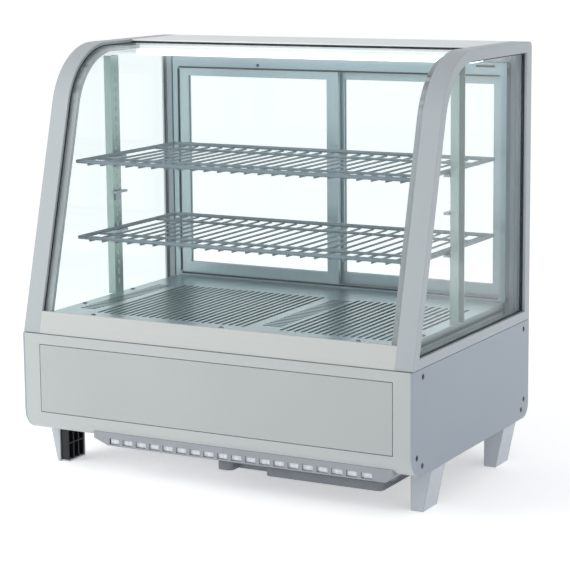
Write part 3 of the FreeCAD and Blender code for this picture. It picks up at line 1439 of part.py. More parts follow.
# ---------------------------------------------------------------------------
# Build, check and export
# ---------------------------------------------------------------------------
def check(items):
    """Stop on any failed object or empty, broken shape."""
    failed = [item.Label for item in doc.Objects
              if "Invalid" in item.State or "Error" in item.State]
    if failed:
        raise RuntimeError(f"failed objects: {failed}")
    for node, item in items:
        shape = item.Shape
        if shape.isNull() or not shape.isValid() or not shape.Solids:
            raise RuntimeError(f"{node} has no valid solid")


def export(items):
    os.makedirs("parts", exist_ok=True)
    for node, item in items:
        item.Shape.exportStep(f"parts/{node}.step")


def main():
    make_chassis()
    make_front()
    make_side_panels()
    make_casing_screws()
    make_rear_panel()
    make_grille()
    make_drain_pan()
    make_feet()
    make_rib_inserts()
    make_side_frames()
    make_side_glass()
    make_front_glass()
    make_sill()
    make_top()
    make_lamp()
    make_tracks()
    make_jambs()
    make_doors()
    make_pilasters()
    make_clips()
    make_shelf("upper_shelf", upper_level)
    make_shelf("lower_shelf", lower_level)
    make_deck()
    make_deck_screws()
    make_tank()
    make_cold_side()
    make_hot_side()
    make_compressor()
    make_pipes()
    make_control_panel()
    make_knob()
    make_gland()
    doc.recompute()
    check(sub_parts)
    export(sub_parts)
    for node, item in sub_parts:
        box_of = item.Shape.BoundBox
        print(f"{node}: {len(item.Shape.Solids)} solid(s), {item.Shape.Volume / 1000:.1f} cm3, "
              f"x {box_of.XMin:.1f}..{box_of.XMax:.1f} y {box_of.YMin:.1f}..{box_of.YMax:.1f} "
              f"z {box_of.ZMin:.1f}..{box_of.ZMax:.1f}")
    print(len(sub_parts), "nodes")


main()
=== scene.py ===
# %% [markdown]
# # A chilled glass merchandiser for a counter
#
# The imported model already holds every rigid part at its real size. This script
# gives those parts the finishes of the real case, adds the small pieces that
# only the eye needs, and sets up the camera and the studio. Everything is in
# metres: +X runs along the front, +Y runs to the rear and +Z is up.

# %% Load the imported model
import json
import math

import bmesh
import bpy
from mathutils import Matrix, Vector


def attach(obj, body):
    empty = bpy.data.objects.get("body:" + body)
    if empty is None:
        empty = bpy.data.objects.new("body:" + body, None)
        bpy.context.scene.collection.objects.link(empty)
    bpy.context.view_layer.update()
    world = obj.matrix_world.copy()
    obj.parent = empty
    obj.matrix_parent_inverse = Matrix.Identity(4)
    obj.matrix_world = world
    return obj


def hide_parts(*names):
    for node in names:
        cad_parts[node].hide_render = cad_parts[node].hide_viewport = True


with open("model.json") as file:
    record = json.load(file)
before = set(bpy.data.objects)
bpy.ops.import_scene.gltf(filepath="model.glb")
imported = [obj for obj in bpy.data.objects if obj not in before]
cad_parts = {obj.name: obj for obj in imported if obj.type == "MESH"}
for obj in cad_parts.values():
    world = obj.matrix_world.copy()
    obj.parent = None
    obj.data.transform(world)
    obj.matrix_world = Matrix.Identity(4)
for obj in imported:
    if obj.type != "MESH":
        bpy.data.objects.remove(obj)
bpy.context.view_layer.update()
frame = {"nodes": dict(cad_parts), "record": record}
nodes = frame["nodes"]
MM = 0.001

# %% [markdown]
# ## Camera
#
# The case is seen from the front, a little to the right and a little above
# the middle. A long lens from three metres away keeps its upright edges nearly
# parallel, as in a catalogue view. The camera is aimed by three angles, so its
# place follows from them instead of being typed in.

# %% Camera
camera_azimuth = math.radians(28.72)
camera_height_angle = math.radians(9.33)
camera_roll = math.radians(-0.57)
camera_distance = 3.218
camera_aim = Vector((0, 0, 0.337))

back = Vector((
    math.sin(camera_azimuth) * math.cos(camera_height_angle),
    -math.cos(camera_azimuth) * math.cos(camera_height_angle),
    math.sin(camera_height_angle),
))
level_right = Vector((math.cos(camera_azimuth), math.sin(camera_azimuth), 0))
level_up = back.cross(level_right)
right = level_right * math.cos(camera_roll) + level_up * math.sin(camera_roll)
up = level_up * math.cos(camera_roll) - level_right * math.sin(camera_roll)

camera_data = bpy.data.cameras.new("camera")
camera_data.sensor_width = 36
camera_data.lens = 127.0
camera_data.shift_x = 0.0125
camera_data.shift_y = -0.0492
camera = bpy.data.objects.new("camera", camera_data)
turn = Matrix((right, up, back)).transposed().to_4x4()
camera.matrix_world = Matrix.Translation(camera_aim + back * camera_distance) @ turn
bpy.context.collection.objects.link(camera)
bpy.context.scene.camera = camera
print("camera at", [round(value, 3) for value in camera.matrix_world.translation])

# %% [markdown]
# ## Studio
#
# A pale floor runs far past the case, and the sky around it is an even white,
# as in a light tent. The tent lights the case at 60 percent of the brightness
# that the eye and the reflections see, so the background stays white while the
# case keeps its shading. One large soft light stands high on the left of the
# front, so the front reads brighter than the right-hand side, and a weaker one
# low at the right of the rear keeps that side from going flat. Neither light
# shows in reflections, because a square of light would show in the glass.

# %% Colours and nodes
def linear(hex_colour):
    """An sRGB hex colour such as "c6c9c8" as linear RGBA."""
    channels = [int(hex_colour[start:start + 2], 16) / 255 for start in (0, 2, 4)]
    return [
        value / 12.92 if value <= 0.04045 else ((value + 0.055) / 1.055) ** 2.4
        for value in channels
    ] + [1.0]


def add(tree, kind, inputs=None, **settings):
    """Add one node: settings are its own properties, and inputs are values or sockets."""
    node = tree.nodes.new(kind)
    for name, value in settings.items():
        setattr(node, name, value)
    for name, value in (inputs or {}).items():
        if isinstance(value, bpy.types.NodeSocket):
            tree.links.new(value, node.inputs[name])
        else:
            node.inputs[name].default_value = value
    return node


print("the lens white is", [round(value, 3) for value in linear("f2f8ff")[:3]], "in linear light")

# %% Sky
scene = bpy.context.scene
scene.view_settings.view_transform = "Standard"
panes_crossed = 8
scene.cycles.transparent_max_bounces = 4 * panes_crossed
world = bpy.data.worlds.new("light_tent")
world.use_nodes = True
scene.world = world
sky = world.node_tree
sky.nodes.clear()
rays = add(sky, "ShaderNodeLightPath")
tent_seen, tent_lighting = 1.0, 0.6
brightness = add(sky, "ShaderNodeMapRange", {
    "Value": rays.outputs["Is Diffuse Ray"], "To Min": tent_seen, "To Max": tent_lighting})
glow = add(sky, "ShaderNodeBackground", {
    "Color": linear("fbfdff"), "Strength": brightness.outputs["Result"]})
add(sky, "ShaderNodeOutputWorld", {"Surface": glow.outputs["Background"]})
print("the tent lights the case at", tent_lighting, "of what is seen of it")


# %% Lights
light_aim = Vector((0, 0, 0.35))


def soft_light(name, place, size, power, colour):
    """A square area light aimed at the middle of the case."""
    data = bpy.data.lights.new(name, "AREA")
    data.size = size
    data.energy = power
    data.color = linear(colour)[:3]
    lamp = bpy.data.objects.new(name, data)
    lamp.location = place
    towards = light_aim - Vector(place)
    lamp.rotation_euler = towards.to_track_quat("-Z", "Y").to_euler()
    lamp.visible_glossy = False
    bpy.context.collection.objects.link(lamp)
    return lamp


soft_light("key_light", (-1.4, -1.5, 1.2), 1.3, 22, "fffdf8")
soft_light("fill_light", (1.6, 1.6, 0.25), 1.0, 6, "eef4ff")

# %% [markdown]
# ## Finishes
#
# Each finish starts from what the real surface is. Colours are sRGB hex values,
# patterns read the object's own coordinates in metres, and each pattern's scale
# comes from a real size. A finish returns its material, and the last cell of
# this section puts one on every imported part.

# %% A material to start from
def start_material(name):
    """An empty material with its Principled shader and its object coordinates."""
    material = bpy.data.materials.new(name)
    material.use_nodes = True
    tree = material.node_tree
    tree.nodes.clear()
    shader = add(tree, "ShaderNodeBsdfPrincipled")
    add(tree, "ShaderNodeOutputMaterial", {"Surface": shader.outputs["BSDF"]})
    place = add(tree, "ShaderNodeTexCoord").outputs["Object"]
    return material, tree, shader, place


def per_metre(size_mm):
    """The scale of a texture whose features are this many millimetres across."""
    return 1000 / size_mm


print("features 2 mm across need a scale of", per_metre(2), "per metre")

# %% [markdown]
# ### Powder coat
#
# The casing is steel with a baked powder coat. It looks satin, with a very fine
# orange peel, and its silver pigment gives a faint fleck. Two tones a few
# percent apart, mixed by a broad noise, keep large panels from looking flat.
# Folded sheet has no sharp edge: the coat runs round a bend of about a
# millimetre. A Bevel node in the shader bends the light there, which costs no
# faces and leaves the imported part's mesh as it is.

# %% Powder coated steel
tone_mm, fleck_mm, peel_mm = 260, 1.1, 2.2


def powder_coat(name, colour, shade, roughness=0.42, edge_mm=0.9):
    material, tree, shader, place = start_material(name)
    broad = add(tree, "ShaderNodeTexNoise", {
        "Vector": place, "Scale": per_metre(tone_mm), "Detail": 2})
    fleck = add(tree, "ShaderNodeTexNoise", {
        "Vector": place, "Scale": per_metre(fleck_mm), "Detail": 1})
    spread = add(tree, "ShaderNodeMapRange", {
        "Value": fleck.outputs["Fac"], "From Min": 0.35, "From Max": 0.65,
        "To Min": -0.12, "To Max": 0.12})
    amount = add(tree, "ShaderNodeMath", {
        0: broad.outputs["Fac"], 1: spread.outputs["Result"]}, operation="ADD", use_clamp=True)
    tone = add(tree, "ShaderNodeMix", {
        "Factor": amount.outputs[0], 6: linear(colour), 7: linear(shade)}, data_type="RGBA")
    peel = add(tree, "ShaderNodeTexNoise", {
        "Vector": place, "Scale": per_metre(peel_mm), "Detail": 2})
    rounded = add(tree, "ShaderNodeBevel", {"Radius": edge_mm * MM}, samples=4)
    bump = add(tree, "ShaderNodeBump", {
        "Height": peel.outputs["Fac"], "Strength": 0.12, "Distance": 0.00015,
        "Normal": rounded.outputs["Normal"]})
    gloss = add(tree, "ShaderNodeMapRange", {
        "Value": peel.outputs["Fac"], "To Min": roughness - 0.05, "To Max": roughness + 0.07})
    tree.links.new(tone.outputs[2], shader.inputs["Base Color"])
    tree.links.new(gloss.outputs["Result"], shader.inputs["Roughness"])
    tree.links.new(bump.outputs["Normal"], shader.inputs["Normal"])
    return material


print("the orange peel is", peel_mm, "mm across and the flecks", fleck_mm, "mm")

# %% [markdown]
# ### Moulded plastic
#
# The feet, the grille and the drain pan are injection moulded ABS with a spark
# eroded texture, so their surface breaks up light. The grain is drawn 0.9 mm
# across, a little coarser than the real half millimetre, so that it shows. A
# moulding's edges are rounder than sheet metal's, from 1.5 to 3 mm.

# %% Moulded ABS
flow_mm = 40


def moulded_abs(name, colour, shade, roughness=0.5, grain_mm=0.9, glow=0.0, edge_mm=1.5):
    material, tree, shader, place = start_material(name)
    # glow makes the part give off light in its own colour: real on the lens and the light strip,
    # painted light on the lamp housing and the filter felt
    shader.inputs["Emission Color"].default_value = linear(colour)
    shader.inputs["Emission Strength"].default_value = glow
    grain = add(tree, "ShaderNodeTexVoronoi", {"Vector": place, "Scale": per_metre(grain_mm)})
    broad = add(tree, "ShaderNodeTexNoise", {
        "Vector": place, "Scale": per_metre(flow_mm), "Detail": 3})
    tone = add(tree, "ShaderNodeMix", {
        "Factor": broad.outputs["Fac"], 6: linear(colour), 7: linear(shade)}, data_type="RGBA")
    rounded = add(tree, "ShaderNodeBevel", {"Radius": edge_mm * MM}, samples=4)
    bump = add(tree, "ShaderNodeBump", {
        "Height": grain.outputs["Distance"], "Strength": 0.22, "Distance": 0.0002,
        "Normal": rounded.outputs["Normal"]})
    gloss = add(tree, "ShaderNodeMapRange", {
        "Value": broad.outputs["Fac"], "To Min": roughness - 0.06, "To Max": roughness + 0.06})
    tree.links.new(tone.outputs[2], shader.inputs["Base Color"])
    tree.links.new(gloss.outputs["Result"], shader.inputs["Roughness"])
    tree.links.new(bump.outputs["Normal"], shader.inputs["Normal"])
    return material


print("the plastic changes tone over", flow_mm, "mm, as the melt flowed")

# %% [markdown]
# ### Brushed and drawn metal
#
# The deck, the shelf standards and the clips are stainless sheet with a brushed
# grain, and the door frames and tracks are anodised aluminium sections with
# faint lines left by the extrusion die. Both are metals with fine streaks along
# one direction, so a noise is squeezed across that direction and stretched
# along it. The streaks are drawn 1 mm wide, coarser than real, so they show.
# Anodised and brushed faces are given as partly metallic, because a full metal
# in a white room mirrors only white and loses its own grey.

# %% Brushed metal
streak_long_mm = 120


def brushed_metal(name, colour, shade, along, roughness=0.34, streak_mm=1.0, metallic=1.0):
    """along is the axis number, 0 to 2, that the streaks follow."""
    material, tree, shader, place = start_material(name)
    stretch = [per_metre(streak_mm)] * 3
    stretch[along] = per_metre(streak_long_mm)
    squeezed = add(tree, "ShaderNodeMapping", {"Vector": place, "Scale": stretch})
    streak = add(tree, "ShaderNodeTexNoise", {
        "Vector": squeezed.outputs["Vector"], "Scale": 1.0, "Detail": 3})
    tone = add(tree, "ShaderNodeMix", {
        "Factor": streak.outputs["Fac"], 6: linear(colour), 7: linear(shade)}, data_type="RGBA")
    bump = add(tree, "ShaderNodeBump", {
        "Height": streak.outputs["Fac"], "Strength": 0.1, "Distance": 0.0001})
    gloss = add(tree, "ShaderNodeMapRange", {
        "Value": streak.outputs["Fac"], "To Min": roughness - 0.08, "To Max": roughness + 0.1})
    shader.inputs["Metallic"].default_value = metallic
    tree.links.new(tone.outputs[2], shader.inputs["Base Color"])
    tree.links.new(gloss.outputs["Result"], shader.inputs["Roughness"])
    tree.links.new(bump.outputs["Normal"], shader.inputs["Normal"])
    return material


print("brushed streaks run for", streak_long_mm, "mm")

# %% [markdown]
# ### Glass
#
# The panes are clear tempered float glass, a few millimetres thick and very
# faintly green. A pane lets nearly everything straight through and mirrors a
# little of the room, more at a glancing angle. A mix of a clear shader and a
# mirror does that without the dark shadows that a bending glass would throw
# inside the case. The mirror's share follows Schlick's rule, rising with the
# fifth power of the slant, worked out from Layer Weight's Facing, because that
# is the same on both faces of a pane. It starts near 1 percent head on, under
# the 4 percent of bare glass, because the room that this glass would mirror is
# screened off in a studio and a full share would lay a white veil over the
# shelves. A broad noise makes the mirror a little less sharp in some places, as
# a thin uneven film on wiped glass does.

# %% Tempered glass
film_mm, schlick_power = 90, 5.0


def tempered_glass(name, tint, smear=0.02, head_on=0.012, glancing=0.45):
    material = bpy.data.materials.new(name)
    material.use_nodes = True
    tree = material.node_tree
    tree.nodes.clear()
    place = add(tree, "ShaderNodeTexCoord").outputs["Object"]
    cloud = add(tree, "ShaderNodeTexNoise", {
        "Vector": place, "Scale": per_metre(film_mm), "Detail": 2})
    film = add(tree, "ShaderNodeMapRange", {
        "Value": cloud.outputs["Fac"], "From Min": 0.4, "From Max": 0.7,
        "To Min": 0.01, "To Max": smear})
    clear = add(tree, "ShaderNodeBsdfTransparent", {"Color": linear(tint)})
    mirror = add(tree, "ShaderNodeBsdfGlossy", {
        "Color": linear("ffffff"), "Roughness": film.outputs["Result"]})
    slant = add(tree, "ShaderNodeLayerWeight", {"Blend": 0.5})
    steep = add(tree, "ShaderNodeMath", {
        0: slant.outputs["Facing"], 1: schlick_power}, operation="POWER")
    share = add(tree, "ShaderNodeMapRange", {
        "Value": steep.outputs[0], "To Min": head_on, "To Max": glancing})
    pane = add(tree, "ShaderNodeMixShader", {
        0: share.outputs["Result"], 1: clear.outputs["BSDF"], 2: mirror.outputs["BSDF"]})
    add(tree, "ShaderNodeOutputMaterial", {"Surface": pane.outputs["Shader"]})
    return material


print("the film of dust on the glass changes over", film_mm, "mm")

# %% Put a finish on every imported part
finishes = {
    # even satin grey with a silver fleck, on the fascia
    "silver_paint": powder_coat("silver_powder_coat", "b8bcbc", "adb3b4"),
    # a shade darker than the fascia, so the set-in panel reads as its own part
    "panel_paint": powder_coat("panel_powder_coat", "b1b6b5", "a6adad"),
    # cooler and darker, for the base's sides
    "side_paint": powder_coat("side_powder_coat", "9fa9b3", "929ca7"),
    # bluish grey of the curved side frames
    "frame_paint": powder_coat("frame_powder_coat", "b2b8bc", "a6adb3", 0.45),
    # clean white roof sheet, a little glossier
    "white_top": powder_coat("white_powder_coat", "f0f2f2", "e6eaea", 0.38),
    # dull grey inside the machine bay
    "chassis_steel": powder_coat("grey_powder_coat", "7c8388", "6e757a", 0.5),
    # pale anodised strip with a faint sideways grain
    "sill_alloy": brushed_metal("anodised_sill", "c7cac8", "bec2c1", 0, 0.42, metallic=0.3),
    # grey-green anodised sections, grain running up
    "door_alloy": brushed_metal("anodised_door_frame", "b3c3c7", "a2b3b8", 2, 0.36, metallic=0.6),
    # the same anodising with the grain along the tracks
    "track_alloy": brushed_metal("anodised_track", "a3b6bb", "92a6ad", 0, 0.36, metallic=0.7),
    # brushed stainless with a soft vertical sheen
    "pilaster_steel": brushed_metal("brushed_standard", "a6bab5", "94a8a4", 2, 0.34, metallic=0.7),
    # bright little bent clips
    "clip_steel": brushed_metal("bent_clip_steel", "9aa4a8", "88939a", 0, 0.32),
    # grey coating that rounds off the welded wires
    "shelf_wire": powder_coat("coated_shelf_wire", "7c8b92", "6b7a82", 0.4),
    # brushed sheet that takes long soft reflections
    "deck_steel": brushed_metal("brushed_deck_steel", "b8c6c8", "9dafb3", 1, 0.3),
    # pale smooth plastic seen through the deck's slots
    "tank_liner": moulded_abs("tank_liner_plastic", "c0cecf", "b2c2c4", 0.4),
    # nearly colourless, with thin reflections at a slant
    "clear_glass": tempered_glass("tempered_float_glass", "feffff"),
    # matt grey line between the side panes
    "spacer_bar": powder_coat("spacer_bar_grey", "8e989e", "7d878d", 0.45),
    # lighter line at the edges of the curved glass
    "edge_bar": powder_coat("edge_bar_silver", "b4bbbf", "a8b0b4", 0.42),
    # dull black rubber that swallows light
    "black_seal": moulded_abs("black_rubber_seal", "2c3034", "212428", 0.6),
    # white lamp housing with a faint glow of its own, painted light that keeps it white
    "lamp_white": moulded_abs("white_lamp_housing_painted_glow", "f0f4f4", "e8eded", 0.4, glow=0.5),
    # the lit strip itself
    "led_glow": moulded_abs("light_strip", "f6faff", "eef6ff", 0.4, glow=4.0),
    # frosted lens, bright along the top of the case
    "lamp_lens": moulded_abs("frosted_lens", "f2f8ff", "e8f0f6", 0.5, glow=2.2),
    # light grey moulding with soft edges
    "foot_grey": moulded_abs("grey_foot_plastic", "c2c8ce", "b5bbc2", 0.45, edge_mm=3.0),
    # glossy black ribs inside the feet
    "rib_black": moulded_abs("black_rib_plastic", "1b1c1f", "101114", 0.45),
    # mid grey moulding round the intake
    "grille_grey": moulded_abs("grey_grille_plastic", "9a9ea5", "8c9098", 0.5),
    # darker grey moulding with rounded edges
    "pan_grey": moulded_abs("dark_pan_plastic", "757a82", "676c74", 0.48, edge_mm=3.0),
    # oiled black steel, a small dark dot
    "screw_black": powder_coat("black_oxide_steel", "1d1e20", "121315", 0.35),
    # dull zinc-like steel on the deck
    "screw_bright": brushed_metal("bright_screw_steel", "6a7274", "545c5e", 0, 0.3),
    # thin bare aluminium edges
    "coil_fins": brushed_metal("fin_aluminium", "b4b8ba", "9fa5a8", 2, 0.35, 2.0),
    # dark moulded blades
    "fan_black": moulded_abs("black_fan_plastic", "25272a", "1a1c1f", 0.45),
    # painted motor can
    "motor_steel": powder_coat("grey_motor_paint", "646a6e", "565c60", 0.45),
    # thick glossy black paint
    "compressor_black": powder_coat("black_compressor_paint", "1c1d1f", "141517", 0.35),
    # warm drawn copper
    "copper_tube": brushed_metal("drawn_copper", "c07a4e", "a9653d", 1, 0.3),
    # dark textured plate
    "control_face": moulded_abs("control_face_plastic", "43474b", "383c40", 0.5),
    # smooth black grip
    "knob_black": moulded_abs("black_knob_plastic", "1e1f22", "151618", 0.4),
    # glossy red rocker
    "switch_red": moulded_abs("red_rocker_plastic", "b02422", "9c1c1b", 0.3),
    # glossy green rocker
    "switch_green": moulded_abs("green_rocker_plastic", "2b8a4a", "22783f", 0.3),
    # black nylon bush
    "gland_black": moulded_abs("black_gland_plastic", "222326", "18191b", 0.5),
}
slot_of = {entry["node"]: entry["material_slot"] for entry in frame["record"]["subparts"]}
for node_name, node in nodes.items():
    finish = finishes[slot_of[node_name]]
    for material_slot in node.material_slots:
        material_slot.material = finish
print(len(finishes), "finishes on", len(nodes), "parts")

# %% [markdown]
# ## Small pieces
#
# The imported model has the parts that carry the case. What follows are the small
# pieces that only show: rubber beads along the glass, screw heads with their
# drives, pile strips, a dust filter and the marks beside the controls. Each is
# drawn in real millimetres, stays inside the case's box, and rides the body
# that it is fixed to.

# %% Helpers for small pieces
def finish_piece(name, shape, finish, body, second=None):
    """Turn a bmesh in millimetres into an object with its normals outward, riding a body."""
    bmesh.ops.scale(shape, vec=(MM, MM, MM), verts=shape.verts)
    bmesh.ops.recalc_face_normals(shape, faces=shape.faces)
    mesh = bpy.data.meshes.new(name)
    shape.to_mesh(mesh)
    faces = len(shape.faces)
    shape.free()
    for material in (finish, second):
        if material:
            mesh.materials.append(material)
    piece = bpy.data.objects.new(name, mesh)
    bpy.context.collection.objects.link(piece)
    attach(piece, body)
    print(name, "has", faces, "faces and rides the", body)
    return piece


# %% Blocks and strips
def rounded_block(shape, low, high, edge):
    """A block between two corners, in millimetres, with its edges rounded."""
    made = bmesh.ops.create_cube(shape, size=1.0)["verts"]
    span = [high[axis] - low[axis] for axis in range(3)]
    middle = [(high[axis] + low[axis]) / 2 for axis in range(3)]
    bmesh.ops.scale(shape, vec=span, verts=made)
    bmesh.ops.translate(shape, vec=middle, verts=made)
    edges = list({link for vert in made for link in vert.link_edges})
    bmesh.ops.bevel(shape, geom=edges, offset=edge, offset_type="OFFSET", affect="EDGES",
                    segments=2, profile=0.5, material=-1)


def swept_strip(shape, outer, inner, x_low, x_high, closed):
    """A strip between two matching (y, z) lines, given thickness along X."""
    rows = [[shape.verts.new((x_low, y, z)) for y, z in line] for line in (outer, inner)]
    count = len(outer)
    faces = []
    for index in range(count if closed else count - 1):
        after = (index + 1) % count
        faces.append(shape.faces.new(
            (rows[0][index], rows[0][after], rows[1][after], rows[1][index])))
    raised = bmesh.ops.extrude_face_region(shape, geom=faces, use_keep_orig=True)["geom"]
    moved = [item for item in raised if isinstance(item, bmesh.types.BMVert)]
    bmesh.ops.translate(shape, vec=(x_high - x_low, 0, 0), verts=moved)


trial = bmesh.new()
rounded_block(trial, (0, 0, 0), (10, 10, 10), 1.0)
print("a rounded block has", len(trial.faces), "faces")
trial.free()

# %% [markdown]
# ### Outline of the curved front
#
# From the side the case is one slanted line that turns through a quarter arc
# into the flat roof. Every bead along the glass follows that line at its own
# depth below the surface, so one function gives the line at any depth.

# %% The slanted and curved outline
slant = math.radians(15)
roof_radius = 120.0
roof_centre = (-10.1, 555.0)
arc_steps = 24


def front_line(depth, low, end):
    """Points (y, z) at a depth inside the outline, from height low up to y = end."""
    radius = roof_radius - depth
    tangent = (roof_centre[0] - math.cos(slant) * radius,
               roof_centre[1] + math.sin(slant) * radius)
    run = (tangent[1] - low) / math.cos(slant)
    points = [(tangent[0] - math.sin(slant) * run, low)]
    for step in range(arc_steps + 1):
        angle = slant + (math.pi / 2 - slant) * step / arc_steps
        points.append((roof_centre[0] - math.cos(angle) * radius,
                       roof_centre[1] + math.sin(angle) * radius))
    points.append((end, roof_centre[1] + radius))
    return points


print("the outline has", len(front_line(0, 226, 200)), "points")

# %% [markdown]
# ### Glazing beads
#
# A side window is held by a black rubber bead pressed between the frame and
# the outer pane, which shows as a thin dark line all round it. The bead is a
# closed strip between two copies of the window's outline. The edges of the
# curved front glass sit in a narrower seal beside each post, an open strip from
# the sill to the end of the roof glass.

# %% Rubber beads
window_inset, window_low, window_back = 17.0, 241.0, 206.6
pane_face, bead_wide, bead_thick = 334.05, 2.2, 2.4
for side in (-1, 1):
    shape = bmesh.new()
    near = front_line(window_inset, window_low, window_back) + [(window_back, window_low)]
    inside = (front_line(window_inset + bead_wide, window_low + bead_wide,
                         window_back - bead_wide)
              + [(window_back - bead_wide, window_low + bead_wide)])
    span = sorted((side * pane_face, side * (pane_face + bead_thick)))
    swept_strip(shape, near, inside, span[0], span[1], closed=True)
    finish_piece("side_window_bead_" + ("left" if side < 0 else "right"), shape,
                 finishes["black_seal"], "cabinet")

glass_depth, seal_high, seal_wide, post_face = 6.0, 1.2, 1.6, 310.9
sill_top, roof_end = 260.4, 65.6
for side in (-1, 1):
    shape = bmesh.new()
    over = front_line(glass_depth - seal_high, sill_top, roof_end)
    under = front_line(glass_depth - 0.05, sill_top, roof_end)
    span = sorted((side * (post_face - seal_wide), side * post_face))
    swept_strip(shape, over, under, span[0], span[1], closed=False)
    finish_piece("front_glass_seal_" + ("left" if side < 0 else "right"), shape,
                 finishes["black_seal"], "cabinet")

# %% [markdown]
# ### Screw heads
#
# The base casing and the deck are held by small screws. A real head is a low
# dome with a cross drive pressed into it. The head is a disc that is raised and
# inset in two steps to give the dome. The drive is a twelve-sided cross, dark
# because no light reaches into it. The casing's screws lie flush with its sides,
# so the new heads take the places of the plain ones and stand for them.

# %% Domed heads with a cross drive
head_sides, cross_arm_share, drive_rise = 20, 0.22, 0.02
rim_share, dome_steps = 0.35, ((0.16, 0.4), (0.24, 0.25))


def domed_head(shape, place, outward, radius, height, cross):
    """A domed screw head on a face, with outward the way that it faces."""
    earlier = set(shape.verts)
    ring = bmesh.ops.create_circle(
        shape, cap_ends=True, segments=head_sides, radius=radius)["verts"]
    cap = bmesh.ops.extrude_discrete_faces(shape, faces=[ring[0].link_faces[0]])["faces"][0]
    bmesh.ops.translate(shape, vec=(0, 0, height * rim_share), verts=list(cap.verts))
    for inset, rise in dome_steps:
        bmesh.ops.inset_region(shape, faces=[cap], thickness=radius * inset, depth=0)
        bmesh.ops.translate(shape, vec=(0, 0, height * rise), verts=list(cap.verts))
    half = cross * cross_arm_share
    quarter = [(half, cross), (half, half), (cross, half)]
    corners = quarter + [(x, -y) for x, y in reversed(quarter)]
    corners += [(-x, -y) for x, y in quarter] + [(-x, y) for x, y in reversed(quarter)]
    drive = [shape.verts.new((x, y, height + drive_rise)) for x, y in corners]
    shape.faces.new(drive).material_index = 1
    made = [vert for vert in shape.verts if vert not in earlier]
    turned = Vector((0, 0, 1)).rotation_difference(Vector(outward)).to_matrix()
    bmesh.ops.rotate(shape, cent=(0, 0, 0), matrix=turned, verts=made)
    bmesh.ops.translate(shape, vec=place, verts=made)


drive_shadow = moulded_abs("screw_drive_shadow", "060606", "0b0b0b", 0.8)
side_face, head_radius, head_high, head_sunk = 341.0, 4.3, 1.2, 0.05
screw_spots = [(-188, 213), (202, 213), (-209, 96), (205, 96), (-190, 80.5), (194, 80.5)]
shape = bmesh.new()
for side in (-1, 1):
    for y, z in screw_spots:
        domed_head(shape, (side * (side_face - head_high - head_sunk), y, z), (side, 0, 0),
                   head_radius, head_high, 2.2)
heads = finish_piece("casing_screw_heads", shape, finishes["screw_black"], "cabinet",
                     drive_shadow)
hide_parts("casing_screws")

deck_top, deck_line, deck_rear_line, deck_front_line = 255.0, -183.1, 39.9, -104.1
deck_spots = [(-234, deck_line), (0, deck_line), (234, deck_line)]
deck_spots += [(side * 303, y) for side in (-1, 1) for y in (deck_front_line, deck_rear_line)]
shape = bmesh.new()
for x, y in deck_spots:
    domed_head(shape, (x, y, deck_top), (0, 0, 1), 4.0, 1.6, 2.0)
heads = finish_piece("deck_screw_heads", shape, finishes["screw_bright"], "cabinet",
                     drive_shadow)
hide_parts("deck_screws")

# %% [markdown]
# ### Strips and catches round the doors
#
# Sliding doors close against dark pile strips: one under the header's front
# lip, one on the lower track's lip, and one down the outer stile of each door.
# They keep cold air in and show as thin dark lines round the doors. Each strip
# is a long block with rounded edges. A round screw holds the left jamb, and the
# header carries a small screw and a stop for the doors.

# %% Pile strips, screws and stop
track_face, pile_deep, strip_half, pile_edge = 195.0, 1.0, 299.0, 0.3
stile_low, stile_high, stile_pile_wide = 264, 617, 2.2
for name, low, high in (("header_pile_strip", 619.4, 622.2), ("track_pile_strip", 258.6, 261.6)):
    shape = bmesh.new()
    rounded_block(shape, (-strip_half, track_face - pile_deep, low),
                  (strip_half, track_face, high), pile_edge)
    finish_piece(name, shape, finishes["black_seal"], "cabinet")
for name, body, left, face in (("left_door_pile_strip", "left_door", -301.8, 198.2),
                               ("right_door_pile_strip", "right_door", 299.6, 211.3)):
    shape = bmesh.new()
    rounded_block(shape, (left, face - pile_deep, stile_low),
                  (left + stile_pile_wide, face, stile_high), pile_edge)
    finish_piece(name, shape, finishes["black_seal"], body)
jamb_screw_place, header_screw_place = (-306.4, track_face, 446), (-142, track_face, 627)
shape = bmesh.new()
domed_head(shape, jamb_screw_place, (0, -1, 0), 4.2, 1.8, 2.4)
finish_piece("left_jamb_screw", shape, finishes["screw_black"], "cabinet",
             drive_shadow)
shape = bmesh.new()
domed_head(shape, header_screw_place, (0, -1, 0), 2.8, 1.1, 1.5)
finish_piece("header_screw", shape, finishes["screw_black"], "cabinet",
             drive_shadow)
shape = bmesh.new()
stop_low, stop_high, stop_edge = (258, track_face - 1.6, 634), (291, track_face, 637.4), 0.5
rounded_block(shape, stop_low, stop_high, stop_edge)
finish_piece("header_door_stop", shape, finishes["black_seal"], "cabinet")

# %% [markdown]
# ### Dust filter
#
# Air enters through the row of slots under the front. Behind them sits a light
# grey filter of pleated felt, which is why the slots look pale and not black.
# The felt is drawn brighter than it would read in the moulding's shade, and it
# gives off a faint glow of its own: painted light that keeps the slots pale.
# It is a grid stood on edge, folded by moving every second column back, and
# given a little thickness.

# %% Pleated filter
pleats, filter_left, filter_right = 96, -186.0, 271.0
filter_low, filter_high, filter_face, pleat_deep, felt_thick = 57.8, 66.2, -213.4, 0.9, 0.3
shape = bmesh.new()
bmesh.ops.create_grid(shape, x_segments=pleats, y_segments=1, size=0.5)
for vert in shape.verts:
    column = round((vert.co.x + 0.5) * pleats)
    vert.co = (filter_left + (filter_right - filter_left) * (vert.co.x + 0.5),
               filter_face + pleat_deep * (column % 2),
               filter_low + (filter_high - filter_low) * (vert.co.y + 0.5))
raised = bmesh.ops.extrude_face_region(shape, geom=list(shape.faces), use_keep_orig=True)["geom"]
bmesh.ops.translate(shape, vec=(0, felt_thick, 0),
                    verts=[item for item in raised if isinstance(item, bmesh.types.BMVert)])
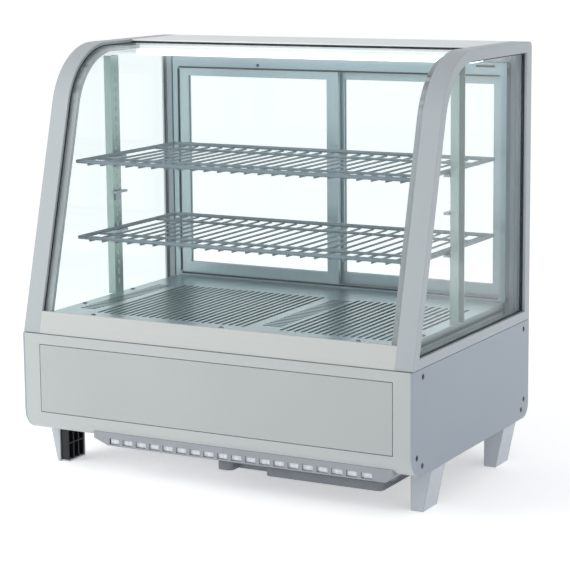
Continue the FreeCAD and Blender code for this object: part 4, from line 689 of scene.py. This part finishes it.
# painted light: the felt's faint glow keeps the slots pale inside the shaded moulding
felt_with_painted_glow = moulded_abs("filter_felt_with_painted_glow", "d8dbe0", "cbd0d6", 0.9, 0.5, glow=0.1)
finish_piece("intake_dust_filter", shape, felt_with_painted_glow, "cabinet")

# %% [markdown]
# ### Marks beside the controls
#
# Round the thermostat knob a row of white ticks grows longer towards the cold
# end, and each rocker has a bar for on above it and a ring for off below it.
# They are printed on the real plate, so each mark stands only a fifth of a
# millimetre off it.

# %% Printed marks
plate_face, ink_thick = 214.0, 0.2
knob_place, rocker_places, rocker_level = (92, 155), (138, 172), 155
mark_gap, tick_count, tick_turn = 16.5, 10, 270
tick_long, tick_growth, tick_half = 1.6, 0.22, 0.35
bar_half, bar_low, bar_high = 0.5, 15.5, 19.5
ring_down, ring_sides, ring_radii = 17.5, 20, (2.2, 1.4)
shape = bmesh.new()
for index in range(tick_count):
    angle = math.radians(tick_turn * index / (tick_count - 1))
    tick_end = mark_gap + tick_long + tick_growth * index
    corners = [(-tick_half, mark_gap), (tick_half, mark_gap), (tick_half, tick_end),
               (-tick_half, tick_end)]
    tick = [shape.verts.new((
        knob_place[0] + across * math.cos(angle) + out * math.sin(angle), plate_face + ink_thick,
        knob_place[1] - across * math.sin(angle) + out * math.cos(angle)))
        for across, out in corners]
    shape.faces.new(tick)
for x in rocker_places:
    bar = [shape.verts.new((x + across, plate_face + ink_thick, rocker_level + up))
           for across, up in ((-bar_half, bar_low), (bar_half, bar_low),
                              (bar_half, bar_high), (-bar_half, bar_high))]
    shape.faces.new(bar)
    rings = [[shape.verts.new((
        x + radius * math.cos(2 * math.pi * step / ring_sides), plate_face + ink_thick,
        rocker_level - ring_down + radius * math.sin(2 * math.pi * step / ring_sides)))
        for step in range(ring_sides)] for radius in ring_radii]
    for step in range(ring_sides):
        after = (step + 1) % ring_sides
        shape.faces.new((rings[0][step], rings[0][after], rings[1][after], rings[1][step]))
raised = bmesh.ops.extrude_face_region(shape, geom=list(shape.faces), use_keep_orig=True)["geom"]
bmesh.ops.translate(shape, vec=(0, -ink_thick, 0),
                    verts=[item for item in raised if isinstance(item, bmesh.types.BMVert)])
ink = powder_coat("white_printing_ink", "eef0f0", "e4e7e7", 0.5, edge_mm=0.05)
finish_piece("control_marks", shape, ink, "cabinet")

# %% [markdown]
# ## Floor
#
# The floor is a wide disc of matt white, large enough to reach past the frame
# from every side. It gives off a little light of its own, so that it reads as
# the same white as the tent behind it.

# %% Floor
floor_radius, floor_sides, floor_glow = 40, 96, 0.42
floor_mesh = bpy.data.meshes.new("floor")
shape = bmesh.new()
bmesh.ops.create_circle(shape, cap_ends=True, segments=floor_sides, radius=floor_radius)
shape.to_mesh(floor_mesh)
shape.free()
floor = bpy.data.objects.new("floor", floor_mesh)
bpy.context.collection.objects.link(floor)
floor_finish, tree, shader, place = start_material("matt_white_floor")
shader.inputs["Base Color"].default_value = linear("fbfbfb")
shader.inputs["Roughness"].default_value = 0.9
shader.inputs["Emission Color"].default_value = linear("ffffff")
shader.inputs["Emission Strength"].default_value = floor_glow
floor_mesh.materials.append(floor_finish)
print("floor reaches", floor_radius, "m")
